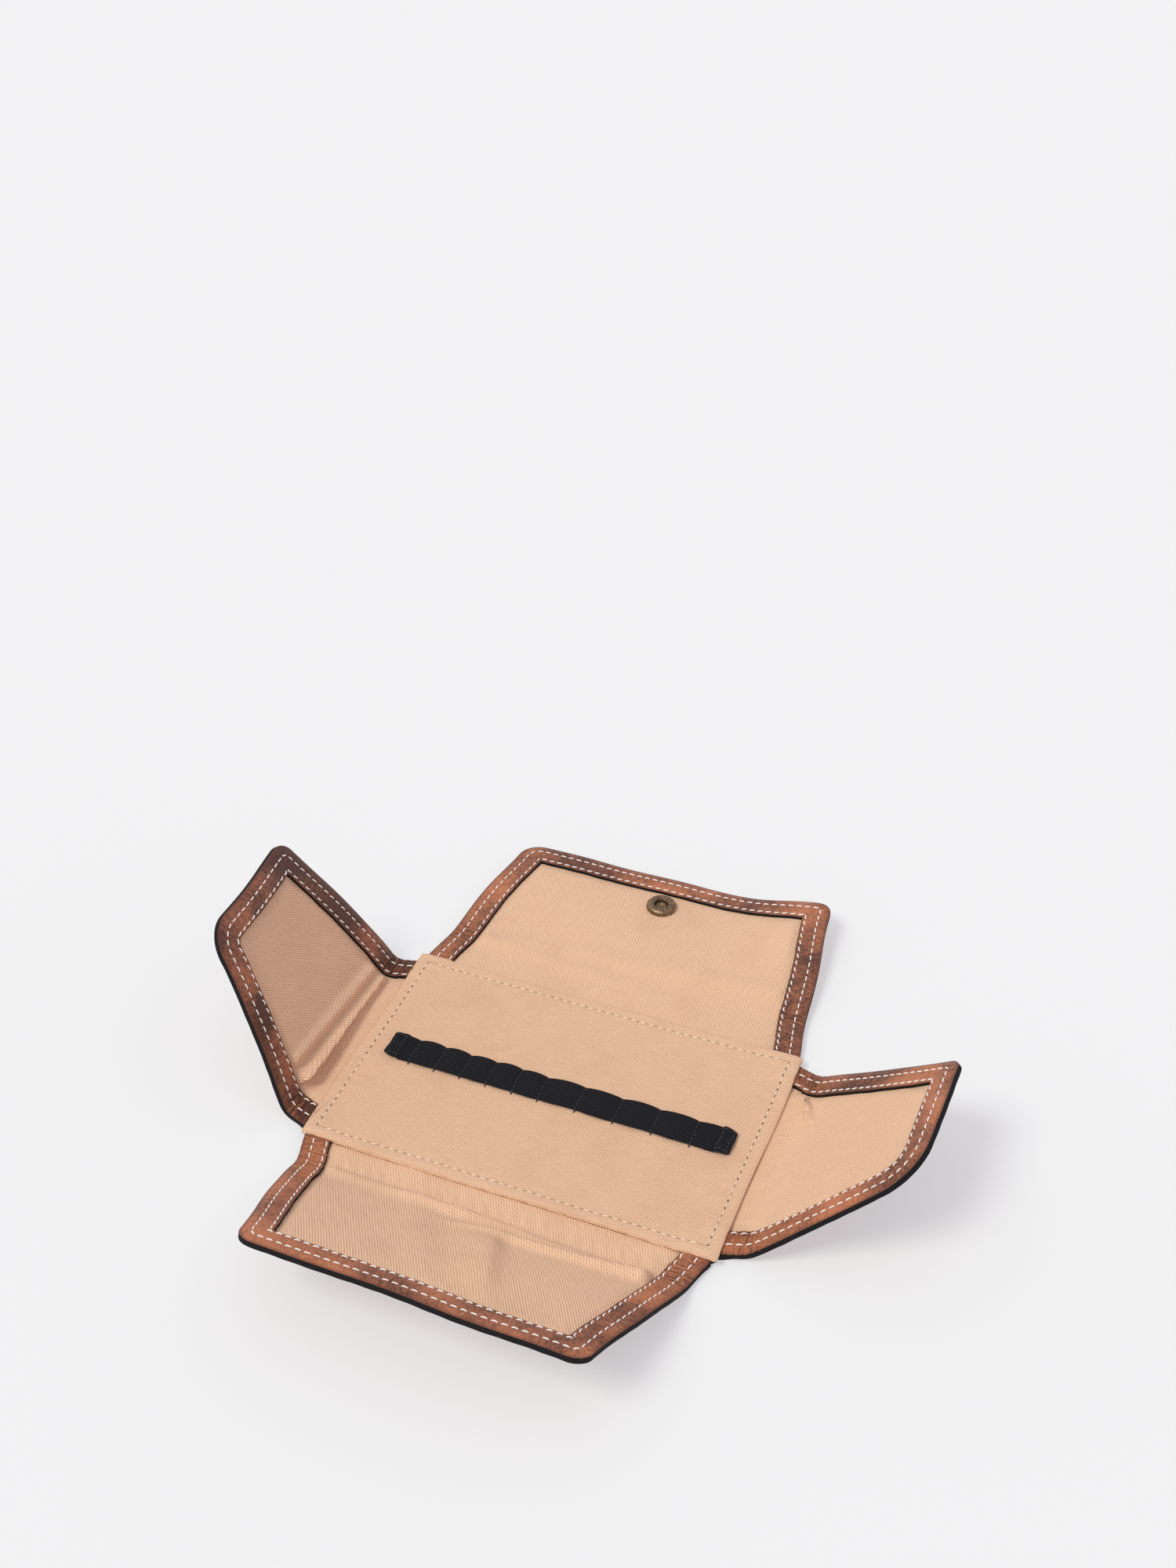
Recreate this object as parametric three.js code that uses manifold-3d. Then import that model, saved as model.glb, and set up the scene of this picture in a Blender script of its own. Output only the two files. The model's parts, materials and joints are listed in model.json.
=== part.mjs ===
// Fold-open pencil case: a leather and canvas base with four flaps that fold over it in turn.
// Millimetres. The origin is the middle of the underside of the base, +X runs along its long
// side, +Y towards the rear flap and +Z up. Each flap hangs on two creases: a wall strip lifts
// at the edge of the base, and the flap turns over at the top of that wall.
import * as THREE from "three";
import { mergeVertices } from "three/addons/utils/BufferGeometryUtils.js";
import Module from "manifold-3d";

// Driving dimensions
const PANEL_LENGTH = 190; // centre panel along X
const PANEL_DEPTH = 123; // centre panel along Y
const SHELL_THICK = 1.8; // outer leather
const LINING_THICK = 0.5; // canvas lining
const BORDER_THICK = 1.4; // leather border strip
const PANEL_THICK = 2; // hemmed double canvas of the centre panel
const BORDER_WIDTH = 12.7; // border strip, edge to edge
const CORNER_RADIUS = 14; // outer corners at a flap's tip
const GAP = 0.3; // between one layer and the next
const SEAM = 0.3; // between two boards that meet at a crease

const ELASTIC_WIDTH = 15;
const ELASTIC_THICK = 0.9;
const NARROW_LOOPS = 6; // pencil loops, at the left
const NARROW_PITCH = 12.6;
const WIDE_LOOPS = 5; // marker loops, at the right
const WIDE_PITCH = 17.8;
const LOOP_BULGE = 1.1; // how far a loop stands up between its tacks

const SNAP_RADIUS = 7.3; // socket ring
const SNAP_HOLE_RADIUS = 3.6; // mouth of the socket
const SOCKET_HEIGHT = 2.6;
const SOCKET_WALL = 0.4;
const SPRING_WIRE = 0.35; // wire radius of the ring spring
const CAP_RADIUS = 7.5;
const CAP_HEIGHT = 2.3;
const POST_RADIUS = 1.9;
const STUD_RADIUS = 2.95;
const STUD_HEIGHT = 2.1;
const STUD_FLANGE_RADIUS = 5.5;
const RIVET_RADIUS = 1.3;
const RIVET_FLANGE_RADIUS = 5;
const HOLE_CLEARANCE = 0.4; // around a post that passes through a layer

// Each flap: where it leaves the base, and its own sizes.
//   turn     which way it points, about Z, from +Y
//   wall     height of the wall strip between its two creases
//   reach    edge of the base to the flap's tip, along the surface
//   tip      half the width at the tip, before the corners are rounded
//   inset    how far each side starts inside the corner of the base
//   fold     lift of the flap at its crease as it rests, in degrees
//   curl     further bend from the crease to the tip, in degrees
//   twist    how far the corner on the +t side stands above the middle, and the other below
//   cup      how far both corners stand above the middle
const FLAPS = {
  rear: { turn: 0, wall: 21.5, reach: 96, tip: 80, inset: 1.5, fold: 9, curl: -14, twist: 2.5, cup: 2.5 },
  left: { turn: 90, wall: 10, reach: 96, tip: 35, inset: 4, fold: 67, curl: -12, twist: -4, cup: -1 },
  front: { turn: 180, wall: 15, reach: 97, tip: 73, inset: 1.5, fold: 31, curl: -8, twist: 2.5, cup: 0 },
  right: { turn: -90, wall: 10, reach: 92, tip: 34.5, inset: 4, fold: 39.5, curl: 4, twist: 2.5, cup: -1.5 },
};
const SNAP_REACH = 73; // rear edge of the base to the socket, along the surface

// Heights of the layers above the underside
const LINING_LOW = SHELL_THICK + GAP;
const LINING_TOP = LINING_LOW + LINING_THICK;
const BORDER_LOW = LINING_TOP + GAP;
const BORDER_TOP = BORDER_LOW + BORDER_THICK;
const PANEL_TOP = BORDER_LOW + PANEL_THICK;
const CREASE_HEIGHT = BORDER_TOP; // both creases of a flap turn about this height

// Where the closed rear flap puts the socket, the stud on the closed front flap meets it.
const STUD_REACH = PANEL_DEPTH + FLAPS.rear.wall + FLAPS.front.wall - SNAP_REACH;

const COLUMNS = 10; // steps across a board
const ROW_STEP = 12; // longest step along a board
const CORNER_STEPS = 4; // steps round a flap's corner
const ROUND = 28; // sides of a turned piece

const leather = (shade) =>
  new THREE.MeshStandardMaterial({ color: shade, roughness: 0.62, metalness: 0 });
const canvas = (shade) =>
  new THREE.MeshStandardMaterial({ color: shade, roughness: 0.93, metalness: 0 });
const brass = () =>
  new THREE.MeshStandardMaterial({ color: 0x6a5540, roughness: 0.38, metalness: 0.9 });
const webbing = () =>
  new THREE.MeshStandardMaterial({ color: 0x262529, roughness: 0.85, metalness: 0 });

const LEATHER_COLOR = 0xa87a68;
const CANVAS_COLOR = 0xdcb294;

function named(name, geometry, material) {
  geometry.computeVertexNormals();
  const mesh = new THREE.Mesh(geometry, material);
  mesh.name = name;
  return mesh;
}

// A closed board between heights low and high. rows is a grid of [t, s] points, the same number
// in each row, and place puts (t, s, height) in space.
function board(rows, low, high, place) {
  const across = rows[0].length;
  const points = [];
  for (const height of [low, high]) {
    for (const row of rows) {
      for (const [t, s] of row) points.push(...place(t, s, height).toArray());
    }
  }
  const layer = rows.length * across;
  const faces = [];
  const quad = (a, b, c, d) => faces.push(a, b, c, a, c, d);
  for (let i = 0; i + 1 < rows.length; i++) {
    for (let j = 0; j + 1 < across; j++) {
      const a = i * across + j;
      quad(a, a + across, a + across + 1, a + 1);
      quad(layer + a, layer + a + 1, layer + a + across + 1, layer + a + across);
    }
  }
  const rim = [];
  for (let j = 0; j < across; j++) rim.push(j);
  for (let i = 1; i < rows.length; i++) rim.push(i * across + across - 1);
  for (let j = across - 2; j >= 0; j--) rim.push((rows.length - 1) * across + j);
  for (let i = rows.length - 2; i > 0; i--) rim.push(i * across);
  rim.forEach((a, k) => {
    const b = rim[(k + 1) % rim.length];
    quad(a, b, layer + b, layer + a);
  });
  const geometry = new THREE.BufferGeometry();
  geometry.setAttribute("position", new THREE.Float32BufferAttribute(points, 3));
  geometry.setIndex(faces);
  return geometry;
}

// What manifold-3d cuts with: a closed geometry as a solid, and back again.
const wasm = await Module();
wasm.setup();

function toSolid(geometry) {
  const bare = geometry.clone();
  bare.deleteAttribute("normal");
  bare.deleteAttribute("uv");
  const merged = mergeVertices(bare, 1e-4);
  return new wasm.Manifold(
    new wasm.Mesh({
      numProp: 3,
      vertProperties: merged.attributes.position.array,
      triVerts: new Uint32Array(merged.index.array),
    }),
  );
}

function cut(geometry, tools) {
  let solid = toSolid(geometry);
  for (const tool of tools) solid = solid.subtract(toSolid(tool));
  const mesh = solid.getMesh();
  const result = new THREE.BufferGeometry();
  result.setAttribute("position", new THREE.BufferAttribute(mesh.vertProperties, 3));
  result.setIndex(new THREE.BufferAttribute(mesh.triVerts, 1));
  return result.toNonIndexed();
}

// A turned piece about Z. profile is a closed list of [radius, height] points.
function turned(profile) {
  const closed = [...profile, profile[0]].map(([r, z]) => new THREE.Vector2(r, z));
  return new THREE.LatheGeometry(closed, ROUND).rotateX(Math.PI / 2);
}

function steps(from, to, count) {
  return Array.from({ length: count + 1 }, (_, i) => from + ((to - from) * i) / count);
}

const flat = (t, s, height) => new THREE.Vector3(t, s, height);

// Half the edge of the base that a flap hangs on.
function halfEdge(flap) {
  return (flap.turn % 180 === 0 ? PANEL_LENGTH : PANEL_DEPTH) / 2;
}

// Distance from the middle of the base to that edge.
function edgeDistance(flap) {
  return (flap.turn % 180 === 0 ? PANEL_DEPTH : PANEL_LENGTH) / 2;
}

// Half the width of a flap's pattern at a distance s from the edge of the base.
function halfWidth(flap, s) {
  const root = halfEdge(flap) - flap.inset;
  return root + ((flap.tip - root) * s) / flap.reach;
}

// Where a flap's surface lies: (t, s, height) of the flat pattern, bent by the flap's curl, twist
// and cup. The result is measured from the crease, which the flap group then lifts by its fold.
function curled(flap) {
  const span = flap.reach - flap.wall;
  const curve = THREE.MathUtils.degToRad(flap.curl) / span;
  return (t, s, height) => {
    const v = s - flap.wall;
    const share = Math.max(v, 0) / span;
    const side = t / halfEdge(flap);
    const lift = flap.twist * share * side + flap.cup * share ** 1.5 * side ** 2;
    const angle = curve * v;
    const rise = height - CREASE_HEIGHT + lift;
    return new THREE.Vector3(
      t,
      Math.sin(angle) / curve - rise * Math.sin(angle),
      (1 - Math.cos(angle)) / curve + rise * Math.cos(angle),
    );
  };
}

// Outline of one half of a flap from its crease to the middle of its tip, moved in by `inset`, as
// [t, s] points with t positive.
function halfOutline(flap, inset) {
  const lean = Math.atan2(halfWidth(flap, 0) - flap.tip, flap.reach);
  const radius = Math.max(CORNER_RADIUS - inset, 1);
  const top = flap.reach - inset;
  const side = (s) => halfWidth(flap, s) - inset / Math.cos(lean);
  const centreS = top - radius;
  const centreT = side(centreS) - radius / Math.cos(lean);
  const start = flap.wall + SEAM / 2;
  const sideEnd = centreS + radius * Math.sin(lean);
  const straight = Math.ceil((flap.reach - flap.wall) / ROW_STEP);
  const points = steps(start, sideEnd, straight).map((s) => [side(s), s]);
  for (const angle of steps(lean, Math.PI / 2, CORNER_STEPS).slice(1)) {
    points.push([centreT + radius * Math.cos(angle), centreS + radius * Math.sin(angle)]);
  }
  return points;
}

// Rows of points that fill a flap's outline.
function flapRows(flap) {
  return halfOutline(flap, 0).map(([half, s]) =>
    steps(-half, half, COLUMNS).map((t) => [t, s]),
  );
}

// Rows of points along the U of a flap's border, from one leg round the tip to the other leg.
function borderRows(flap) {
  const around = (inset) => {
    const half = halfOutline(flap, inset);
    const tip = half[half.length - 1][0];
    const bridge = steps(tip, -tip, COLUMNS)
      .slice(1, -1)
      .map((t) => [t, flap.reach - inset]);
    const back = half.map(([t, s]) => [-t, s]).reverse();
    return [...half, ...bridge, ...back];
  };
  const outer = around(0);
  const inner = around(BORDER_WIDTH);
  return outer.map(([t, s], i) =>
    steps(1, 0, 2).map((f) => [t + (inner[i][0] - t) * f, s + (inner[i][1] - s) * f]),
  );
}

function wallRows(flap) {
  return [SEAM / 2, flap.wall - SEAM / 2].map((s) => {
    const half = halfWidth(flap, s);
    return [[-half, s], [half, s]];
  });
}

// Rows of the strap that carries the border over a wall, on side +1 or -1.
function strapRows(flap, side) {
  return [SEAM / 2, flap.wall - SEAM / 2].map((s) => {
    const ends = [halfWidth(flap, s) - BORDER_WIDTH, halfWidth(flap, s)];
    return (side > 0 ? ends : ends.reverse()).map((t) => [side * t, s]);
  });
}

// A frame on a flap's surface, in the middle of its width at a distance s from the base, whose Z
// stands on the surface and whose heights are those of the layers.
function surfaceSeat(flap, s) {
  const place = curled(flap);
  const seat = new THREE.Group();
  const low = place(0, s, 0);
  const up = place(0, s, 1).sub(low);
  seat.position.copy(low);
  seat.rotation.x = Math.atan2(-up.y, up.z);
  return seat;
}

// A round tool for cutting through a layer, standing on a flap's surface seat.
function roundTool(flap, s, radius, low, high) {
  const seat = surfaceSeat(flap, s);
  seat.updateMatrix();
  const tool = new THREE.CylinderGeometry(radius, radius, high - low, ROUND);
  return tool
    .rotateX(Math.PI / 2)
    .translate(0, 0, (low + high) / 2)
    .applyMatrix4(seat.matrix);
}

function makeWall(name, flap) {
  const wall = new THREE.Group();
  const rows = wallRows(flap);
  wall.add(
    named(`${name}_wall_shell`, board(rows, 0, SHELL_THICK, flat), leather(LEATHER_COLOR)),
    named(`${name}_wall_lining`, board(rows, LINING_LOW, LINING_TOP, flat), canvas(CANVAS_COLOR)),
  );
  for (const [end, side] of [["a", -1], ["b", 1]]) {
    const strap = board(strapRows(flap, side), BORDER_LOW, BORDER_TOP, flat);
    wall.add(named(`${name}_wall_strap_${end}`, strap, leather(LEATHER_COLOR)));
  }
  return wall;
}

function makeFlap(name, flap, shellTools, liningTools) {
  const group = new THREE.Group();
  const place = curled(flap);
  const rows = flapRows(flap);
  const shell = cut(board(rows, 0, SHELL_THICK, place), shellTools);
  const lining = cut(board(rows, LINING_LOW, LINING_TOP, place), liningTools);
  const border = board(borderRows(flap), BORDER_LOW, BORDER_TOP, place);
  group.add(
    named(`${name}_flap_shell`, shell, leather(LEATHER_COLOR)),
    named(`${name}_flap_lining`, lining, canvas(CANVAS_COLOR)),
    named(`${name}_flap_border`, border, leather(LEATHER_COLOR)),
  );
  group.position.set(0, flap.wall, CREASE_HEIGHT);
  group.rotation.x = THREE.MathUtils.degToRad(flap.fold);
  return group;
}

// Ring socket on the inner face of the rear flap, with its ring spring, and the cap outside that
// is riveted to it through the leather and the canvas.
function makeSocket() {
  const floor = BORDER_LOW;
  const top = floor + SOCKET_HEIGHT;
  const bore = POST_RADIUS + HOLE_CLEARANCE;
  const groove = SNAP_HOLE_RADIUS + 2 * SPRING_WIRE;
  const ring = turned([
    [bore, floor],
    [SNAP_RADIUS, floor],
    [SNAP_RADIUS, top - 1],
    [SNAP_RADIUS - 1.2, top],
    [SNAP_HOLE_RADIUS + 0.3, top],
    [SNAP_HOLE_RADIUS, top - 0.3],
    [SNAP_HOLE_RADIUS, top - 0.6],
    [groove, top - 0.6],
    [groove, floor + SOCKET_WALL],
    [bore, floor + SOCKET_WALL],
  ]);
  const springRadius = SNAP_HOLE_RADIUS + SPRING_WIRE / 2;
  const springHeight = top - 0.6 - SPRING_WIRE - 0.15;
  const spring = new THREE.TorusGeometry(springRadius, SPRING_WIRE, 6, ROUND);
  spring.translate(0, 0, springHeight);

  const head = 1.2 + POST_RADIUS;
  const recess = 0.5 + 2 * GAP;
  const post = turned([
    [0, -recess],
    [head, -recess],
    [head, -GAP - 0.3],
    [POST_RADIUS, -GAP - 0.3],
    [POST_RADIUS, floor + SOCKET_WALL + GAP],
    [POST_RADIUS + 0.9, floor + SOCKET_WALL + GAP],
    [POST_RADIUS + 0.9, floor + SOCKET_WALL + GAP + 0.25],
    [0, floor + SOCKET_WALL + GAP + 0.25],
  ]);
  const well = head + GAP;
  const cap = turned([
    [0, -recess - GAP],
    [0, -GAP - CAP_HEIGHT],
    [CAP_RADIUS * 0.5, -GAP - CAP_HEIGHT * 0.93],
    [CAP_RADIUS * 0.85, -GAP - CAP_HEIGHT * 0.65],
    [CAP_RADIUS, -GAP - CAP_HEIGHT * 0.2],
    [CAP_RADIUS, -GAP],
    [well, -GAP],
    [well, -recess - GAP],
  ]);
  return [
    named("snap_socket", ring, brass()),
    named("snap_spring", spring, brass()),
    named("snap_cap_post", post, brass()),
    named("snap_cap", cap, brass()),
  ];
}

// Stud on the outer face of the front flap, and the rivet that holds it through the leather.
const RIVET_SEAT = SHELL_THICK - 0.8; // floor of the rivet's recess in the leather

function makeStud() {
  const neck = STUD_RADIUS - 0.5;
  const bore = RIVET_RADIUS + GAP;
  const stud = turned([
    [bore, -GAP],
    [bore, -GAP - STUD_HEIGHT + 0.5],
    [0, -GAP - STUD_HEIGHT + 0.5],
    [0, -GAP - STUD_HEIGHT],
    [STUD_RADIUS - 0.5, -GAP - STUD_HEIGHT],
    [STUD_RADIUS, -GAP - STUD_HEIGHT + 0.4],
    [STUD_RADIUS, -GAP - STUD_HEIGHT + 0.9],
    [neck, -GAP - STUD_HEIGHT + 1.2],
    [neck, -GAP - 0.4],
    [STUD_FLANGE_RADIUS, -GAP - 0.3],
    [STUD_FLANGE_RADIUS, -GAP],
  ]);
  const rivet = turned([
    [0, SHELL_THICK],
    [0, -GAP - STUD_HEIGHT + 0.5 + GAP],
    [RIVET_RADIUS, -GAP - STUD_HEIGHT + 0.5 + GAP],
    [RIVET_RADIUS, RIVET_SEAT + GAP],
    [RIVET_FLANGE_RADIUS, RIVET_SEAT + GAP],
    [RIVET_FLANGE_RADIUS, SHELL_THICK],
  ]);
  return [named("snap_stud", stud, brass()), named("snap_stud_rivet", rivet, brass())];
}

function makeBase() {
  const halfX = PANEL_LENGTH / 2 - SEAM / 2;
  const halfY = PANEL_DEPTH / 2 - SEAM / 2;
  const rows = [[[-halfX, -halfY], [halfX, -halfY]], [[-halfX, halfY], [halfX, halfY]]];
  return [
    named("base_shell", board(rows, 0, SHELL_THICK, flat), leather(LEATHER_COLOR)),
    named("base_lining", board(rows, LINING_LOW, LINING_TOP, flat), canvas(CANVAS_COLOR)),
    named("centre_panel", board(rows, BORDER_LOW, PANEL_TOP, flat), canvas(CANVAS_COLOR)),
  ];
}

// Elastic band along the middle of the panel, standing up a little between its tacks.
function makeElastic() {
  const length = NARROW_LOOPS * NARROW_PITCH + WIDE_LOOPS * WIDE_PITCH;
  const low = PANEL_TOP + GAP;
  const loopSteps = 4;
  const outline = new THREE.Shape();
  outline.moveTo(-length / 2, low);
  outline.lineTo(length / 2, low);
  outline.lineTo(length / 2, low + ELASTIC_THICK);
  let x = length / 2;
  const arch = (pitch) => {
    for (const f of steps(0, 1, loopSteps).slice(1)) {
      outline.lineTo(x - pitch * f, low + ELASTIC_THICK + LOOP_BULGE * Math.sin(Math.PI * f));
    }
    x -= pitch;
  };
  for (let i = 0; i < WIDE_LOOPS; i++) arch(WIDE_PITCH);
  for (let i = 0; i < NARROW_LOOPS; i++) arch(NARROW_PITCH);
  const band = new THREE.ExtrudeGeometry(outline, { depth: ELASTIC_WIDTH, bevelEnabled: false });
  band.translate(0, 0, -ELASTIC_WIDTH / 2).rotateX(Math.PI / 2);
  return named("elastic_band", band, webbing());
}

// One side of the case: the wall on the base's edge, and the flap on the wall.
function makeSide(name, flap, shellTools = [], liningTools = [], fittings = null) {
  const side = new THREE.Group();
  const flapGroup = makeFlap(name, flap, shellTools, liningTools);
  if (fittings) flapGroup.add(fittings);
  side.add(makeWall(name, flap), flapGroup);
  const angle = THREE.MathUtils.degToRad(flap.turn);
  side.rotation.z = angle;
  side.position.set(-Math.sin(angle), Math.cos(angle), 0).multiplyScalar(edgeDistance(flap));
  return side;
}

function makeRear() {
  const flap = FLAPS.rear;
  const hole = POST_RADIUS + HOLE_CLEARANCE;
  const tools = [roundTool(flap, SNAP_REACH, hole, -1, BORDER_TOP)];
  const seat = surfaceSeat(flap, SNAP_REACH);
  seat.add(...makeSocket());
  return makeSide("rear", flap, tools, tools, seat);
}

function makeFront() {
  const flap = FLAPS.front;
  const hole = RIVET_RADIUS + HOLE_CLEARANCE;
  const tools = [
    roundTool(flap, STUD_REACH, hole, -1, LINING_LOW),
    roundTool(flap, STUD_REACH, RIVET_FLANGE_RADIUS + HOLE_CLEARANCE, RIVET_SEAT, LINING_LOW),
  ];
  const seat = surfaceSeat(flap, STUD_REACH);
  seat.add(...makeStud());
  return makeSide("front", flap, tools, [], seat);
}

const pencilCase = new THREE.Group();
pencilCase.add(...makeBase(), makeElastic());
pencilCase.add(makeRear(), makeFront());
pencilCase.add(makeSide("left", FLAPS.left), makeSide("right", FLAPS.right));

export default pencilCase;
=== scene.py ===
"""Looks of a fold-open pencil case in leather and canvas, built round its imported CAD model."""

import json
import math
from types import SimpleNamespace

import bpy
import numpy as np
from mathutils import Matrix, Vector


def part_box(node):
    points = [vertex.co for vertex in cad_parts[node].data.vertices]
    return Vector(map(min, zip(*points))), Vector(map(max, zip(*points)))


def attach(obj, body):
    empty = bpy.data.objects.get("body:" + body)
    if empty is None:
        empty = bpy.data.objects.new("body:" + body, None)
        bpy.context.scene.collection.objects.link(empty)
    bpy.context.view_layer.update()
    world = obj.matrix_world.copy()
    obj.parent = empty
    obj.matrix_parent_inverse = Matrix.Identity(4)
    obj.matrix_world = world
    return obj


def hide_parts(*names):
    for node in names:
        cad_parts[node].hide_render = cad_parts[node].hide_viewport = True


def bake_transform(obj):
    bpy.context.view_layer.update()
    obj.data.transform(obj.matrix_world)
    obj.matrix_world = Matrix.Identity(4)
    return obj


bl_info = {
    "name": "Fold-open Pencil Case",
    "version": (1, 0, 0),
    "blender": (4, 5, 0),
    "location": "View3D > Sidebar > Pencil Case",
    "description": "Models the leather, canvas, stitching, elastic and snap of a fold-open case",
    "category": "Object",
}

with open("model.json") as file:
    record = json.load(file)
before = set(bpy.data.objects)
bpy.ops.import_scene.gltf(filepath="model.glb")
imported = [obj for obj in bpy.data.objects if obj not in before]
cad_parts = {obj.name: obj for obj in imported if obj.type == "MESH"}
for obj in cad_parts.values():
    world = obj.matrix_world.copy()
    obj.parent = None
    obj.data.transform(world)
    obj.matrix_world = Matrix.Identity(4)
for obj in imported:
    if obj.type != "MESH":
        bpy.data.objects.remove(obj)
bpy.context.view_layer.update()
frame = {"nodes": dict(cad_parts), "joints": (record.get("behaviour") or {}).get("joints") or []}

MM = 0.001
JOINTS = {joint["name"]: joint for joint in frame["joints"]}

# Heights of the layers above the underside, from the frame. The CAD leaves a gap between its
# boards, and the bonded layers close it to a hair, so that the stack shows no daylight.
HAIR = 0.05 * MM
CREASE = JOINTS["rear_wall_lift"]["pos_m"][2]
LINING_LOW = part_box("base_lining")[0].z - 0.15 * MM
LINING_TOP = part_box("base_lining")[1].z
BORDER_LOW = LINING_TOP + HAIR
BORDER_TOP = CREASE
SHELL_TOP = LINING_LOW - HAIR
PANEL_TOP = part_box("centre_panel")[1].z
HALF_LENGTH = JOINTS["right_wall_lift"]["pos_m"][0]
HALF_DEPTH = JOINTS["rear_wall_lift"]["pos_m"][1]


def make_flap(name, turn, tip, inset, corners, fold, curl, twist, cup, bend, grain):
    """What the CAD says of a flap, with the lengths and angles of its own shape added."""
    hinge = Vector(JOINTS[f"{name}_wall_lift"]["pos_m"])
    crease = Vector(JOINTS[f"{name}_flap_fold"]["pos_m"])
    sideways = turn % 180 != 0
    return SimpleNamespace(
        name=name,
        turn=math.radians(turn),
        edge=Vector((hinge.x, hinge.y, 0)),
        half=HALF_DEPTH if sideways else HALF_LENGTH,
        wall=(crease - hinge).length,
        reach=REACH[name] * MM,
        tip=tip * MM,
        inset=inset * MM,
        corners=np.array(corners) * MM,
        grain=math.radians(grain),
        fold=math.radians(fold),
        curl=math.radians(curl),
        twist=twist * MM,
        cup=cup * MM,
        bend=bend * MM,
    )


# Edge of the base to each flap's tip along the surface, in millimetres
REACH = {"rear": 96, "left": 96, "front": 97, "right": 92}
# How much darker than plain leather each border is, below 0 where it is paler: partly its own
# tone, partly painted shade on the left and rear borders for the sheen the front and right catch
TONE_AND_PAINTED_SHADE = {"rear": 0.055, "left": 0.16, "front": -0.005, "right": 0.01}
# turn: which way the flap points; tip: half the width of its far end; inset: how far its sides
# start inside the corners of the base; corners: their radii on its +t and -t side; fold, curl,
# twist and cup: how it rests; bend: length of its fold; grain: slant of its canvas. t runs
# across a flap and s out along it from the edge of the base.
FLAPS = {
    "rear": make_flap("rear", 0, 80, 1.5, (8, 12), 9, -14, 2.5, 2.5, 13, 25),
    "left": make_flap("left", 90, 35, 4, (9, 17), 67, -12, -4, -1, 8, -47),
    "front": make_flap("front", 180, 73, 1.5, (9, 9), 31, -8, 2.5, 0, 11, -28),
    "right": make_flap("right", -90, 34.5, 4, (24, 7), 39.5, 4, 2.5, -1.5, 9, -35),
}

STEP = 1.6 * MM  # spacing of the points on a fine surface
CANVAS_MARGIN = 0.9 * MM  # edge of the leather to the edge of the canvas bonded to it


# ---------------------------------------------------------------- sizes and colours


def length(name, description, default):
    return bpy.props.FloatProperty(
        name=name, description=description, default=default, min=0, precision=5, unit="LENGTH"
    )


def colour(name, description, default):
    return bpy.props.FloatVectorProperty(
        name=name, description=description, default=default, size=3, min=0, max=1, subtype="COLOR"
    )


class CaseSizes(bpy.types.PropertyGroup):
    """Sizes of the sewn and bonded details"""

    border_width: length("Border width", "Leather border strip, edge to edge", 12.7 * MM)
    outer_row: length("Outer row", "Outer edge of the border to the outer stitches", 4.9 * MM)
    inner_row: length("Inner row", "Outer edge of the border to the inner stitches", 10.7 * MM)
    stitch_pitch: length("Stitch pitch", "From one border stitch to the next", 4.1 * MM)
    stitch_length: length("Stitch length", "Visible thread of one border stitch", 3.3 * MM)
    thread_width: length("Thread width", "Border thread, lying flat", 0.62 * MM)
    seam_inset: length("Panel seam inset", "Edge of the centre panel to its seam", 5 * MM)
    seam_pitch: length("Panel seam pitch", "From one seam stitch to the next", 4.3 * MM)
    hem: length("Hem thickness", "Folded canvas of the centre panel", 1.3 * MM)
    narrow_pitch: length("Narrow loop", "Tack to tack of a pencil loop", 12.6 * MM)
    wide_pitch: length("Wide loop", "Tack to tack of a marker loop", 17.8 * MM)


class CaseColours(bpy.types.PropertyGroup):
    """Colours of the materials"""

    leather: colour("Leather", "Waxed brown leather", (0.425, 0.144, 0.064))
    leather_dark: colour("Dark leather", "Leather rubbed or bent", (0.140, 0.038, 0.018))
    edge_paint: colour("Edge paint", "Painted edge of the leather", (0.006, 0.0055, 0.007))
    canvas: colour("Canvas", "Tan cotton twill", (0.97, 0.635, 0.430))
    canvas_dark: colour("Canvas valleys", "Between the ribs of the twill", (0.52, 0.280, 0.160))
    thread: colour("Border thread", "Off-white waxed thread", (0.97, 0.93, 0.90))
    panel_thread: colour("Panel thread", "Beige sewing thread", (0.88, 0.68, 0.50))
    elastic: colour("Elastic", "Black woven elastic", (0.0075, 0.0075, 0.0095))
    brass: colour("Brass", "Antique brass of the snap", (0.30, 0.20, 0.115))
    floor: colour("Floor", "Pale studio floor", (0.40, 0.40, 0.40))
    floor_glow: colour("Floor glow", "Light let through the floor from below", (0.44, 0.435, 0.45))


def sizes():
    return bpy.context.scene.case_sizes


def colours():
    return bpy.context.scene.case_colours


# ---------------------------------------------------------------- modelling helpers


def smooth(x):
    x = np.clip(x, 0, 1)
    return x * x * (3 - 2 * x)


def bell(x, width):
    return np.exp(-((x / width) ** 2))


def lopsided(x, near, far):
    """A ridge that is steep on its near side and slopes off on its far side."""
    return np.where(x < 0, bell(x, near), bell(x, far))


def spread(low, high, step):
    """Evenly spaced numbers from low to high, as near to step apart as fits."""
    return np.linspace(low, high, max(int(round((high - low) / step)), 1) + 1)


def edged(low, high, step):
    """Evenly spaced numbers from low to high, with closer ones near both ends."""
    close = np.array([0, 0.45, 1.1, 2.0, 3.1, 4.4]) * MM
    inner = spread(low + 6 * MM, high - 6 * MM, step)
    return np.r_[low + close, inner, high - close[::-1]]


def turned(t, s, angle):
    """Pattern coordinates turned by an angle."""
    c, n = math.cos(angle), math.sin(angle)
    return c * t - n * s, n * t + c * s


def pick(piece):
    """Makes piece the only selected and active object."""
    bpy.ops.object.select_all(action="DESELECT")
    piece.select_set(True)
    bpy.context.view_layer.objects.active = piece


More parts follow.
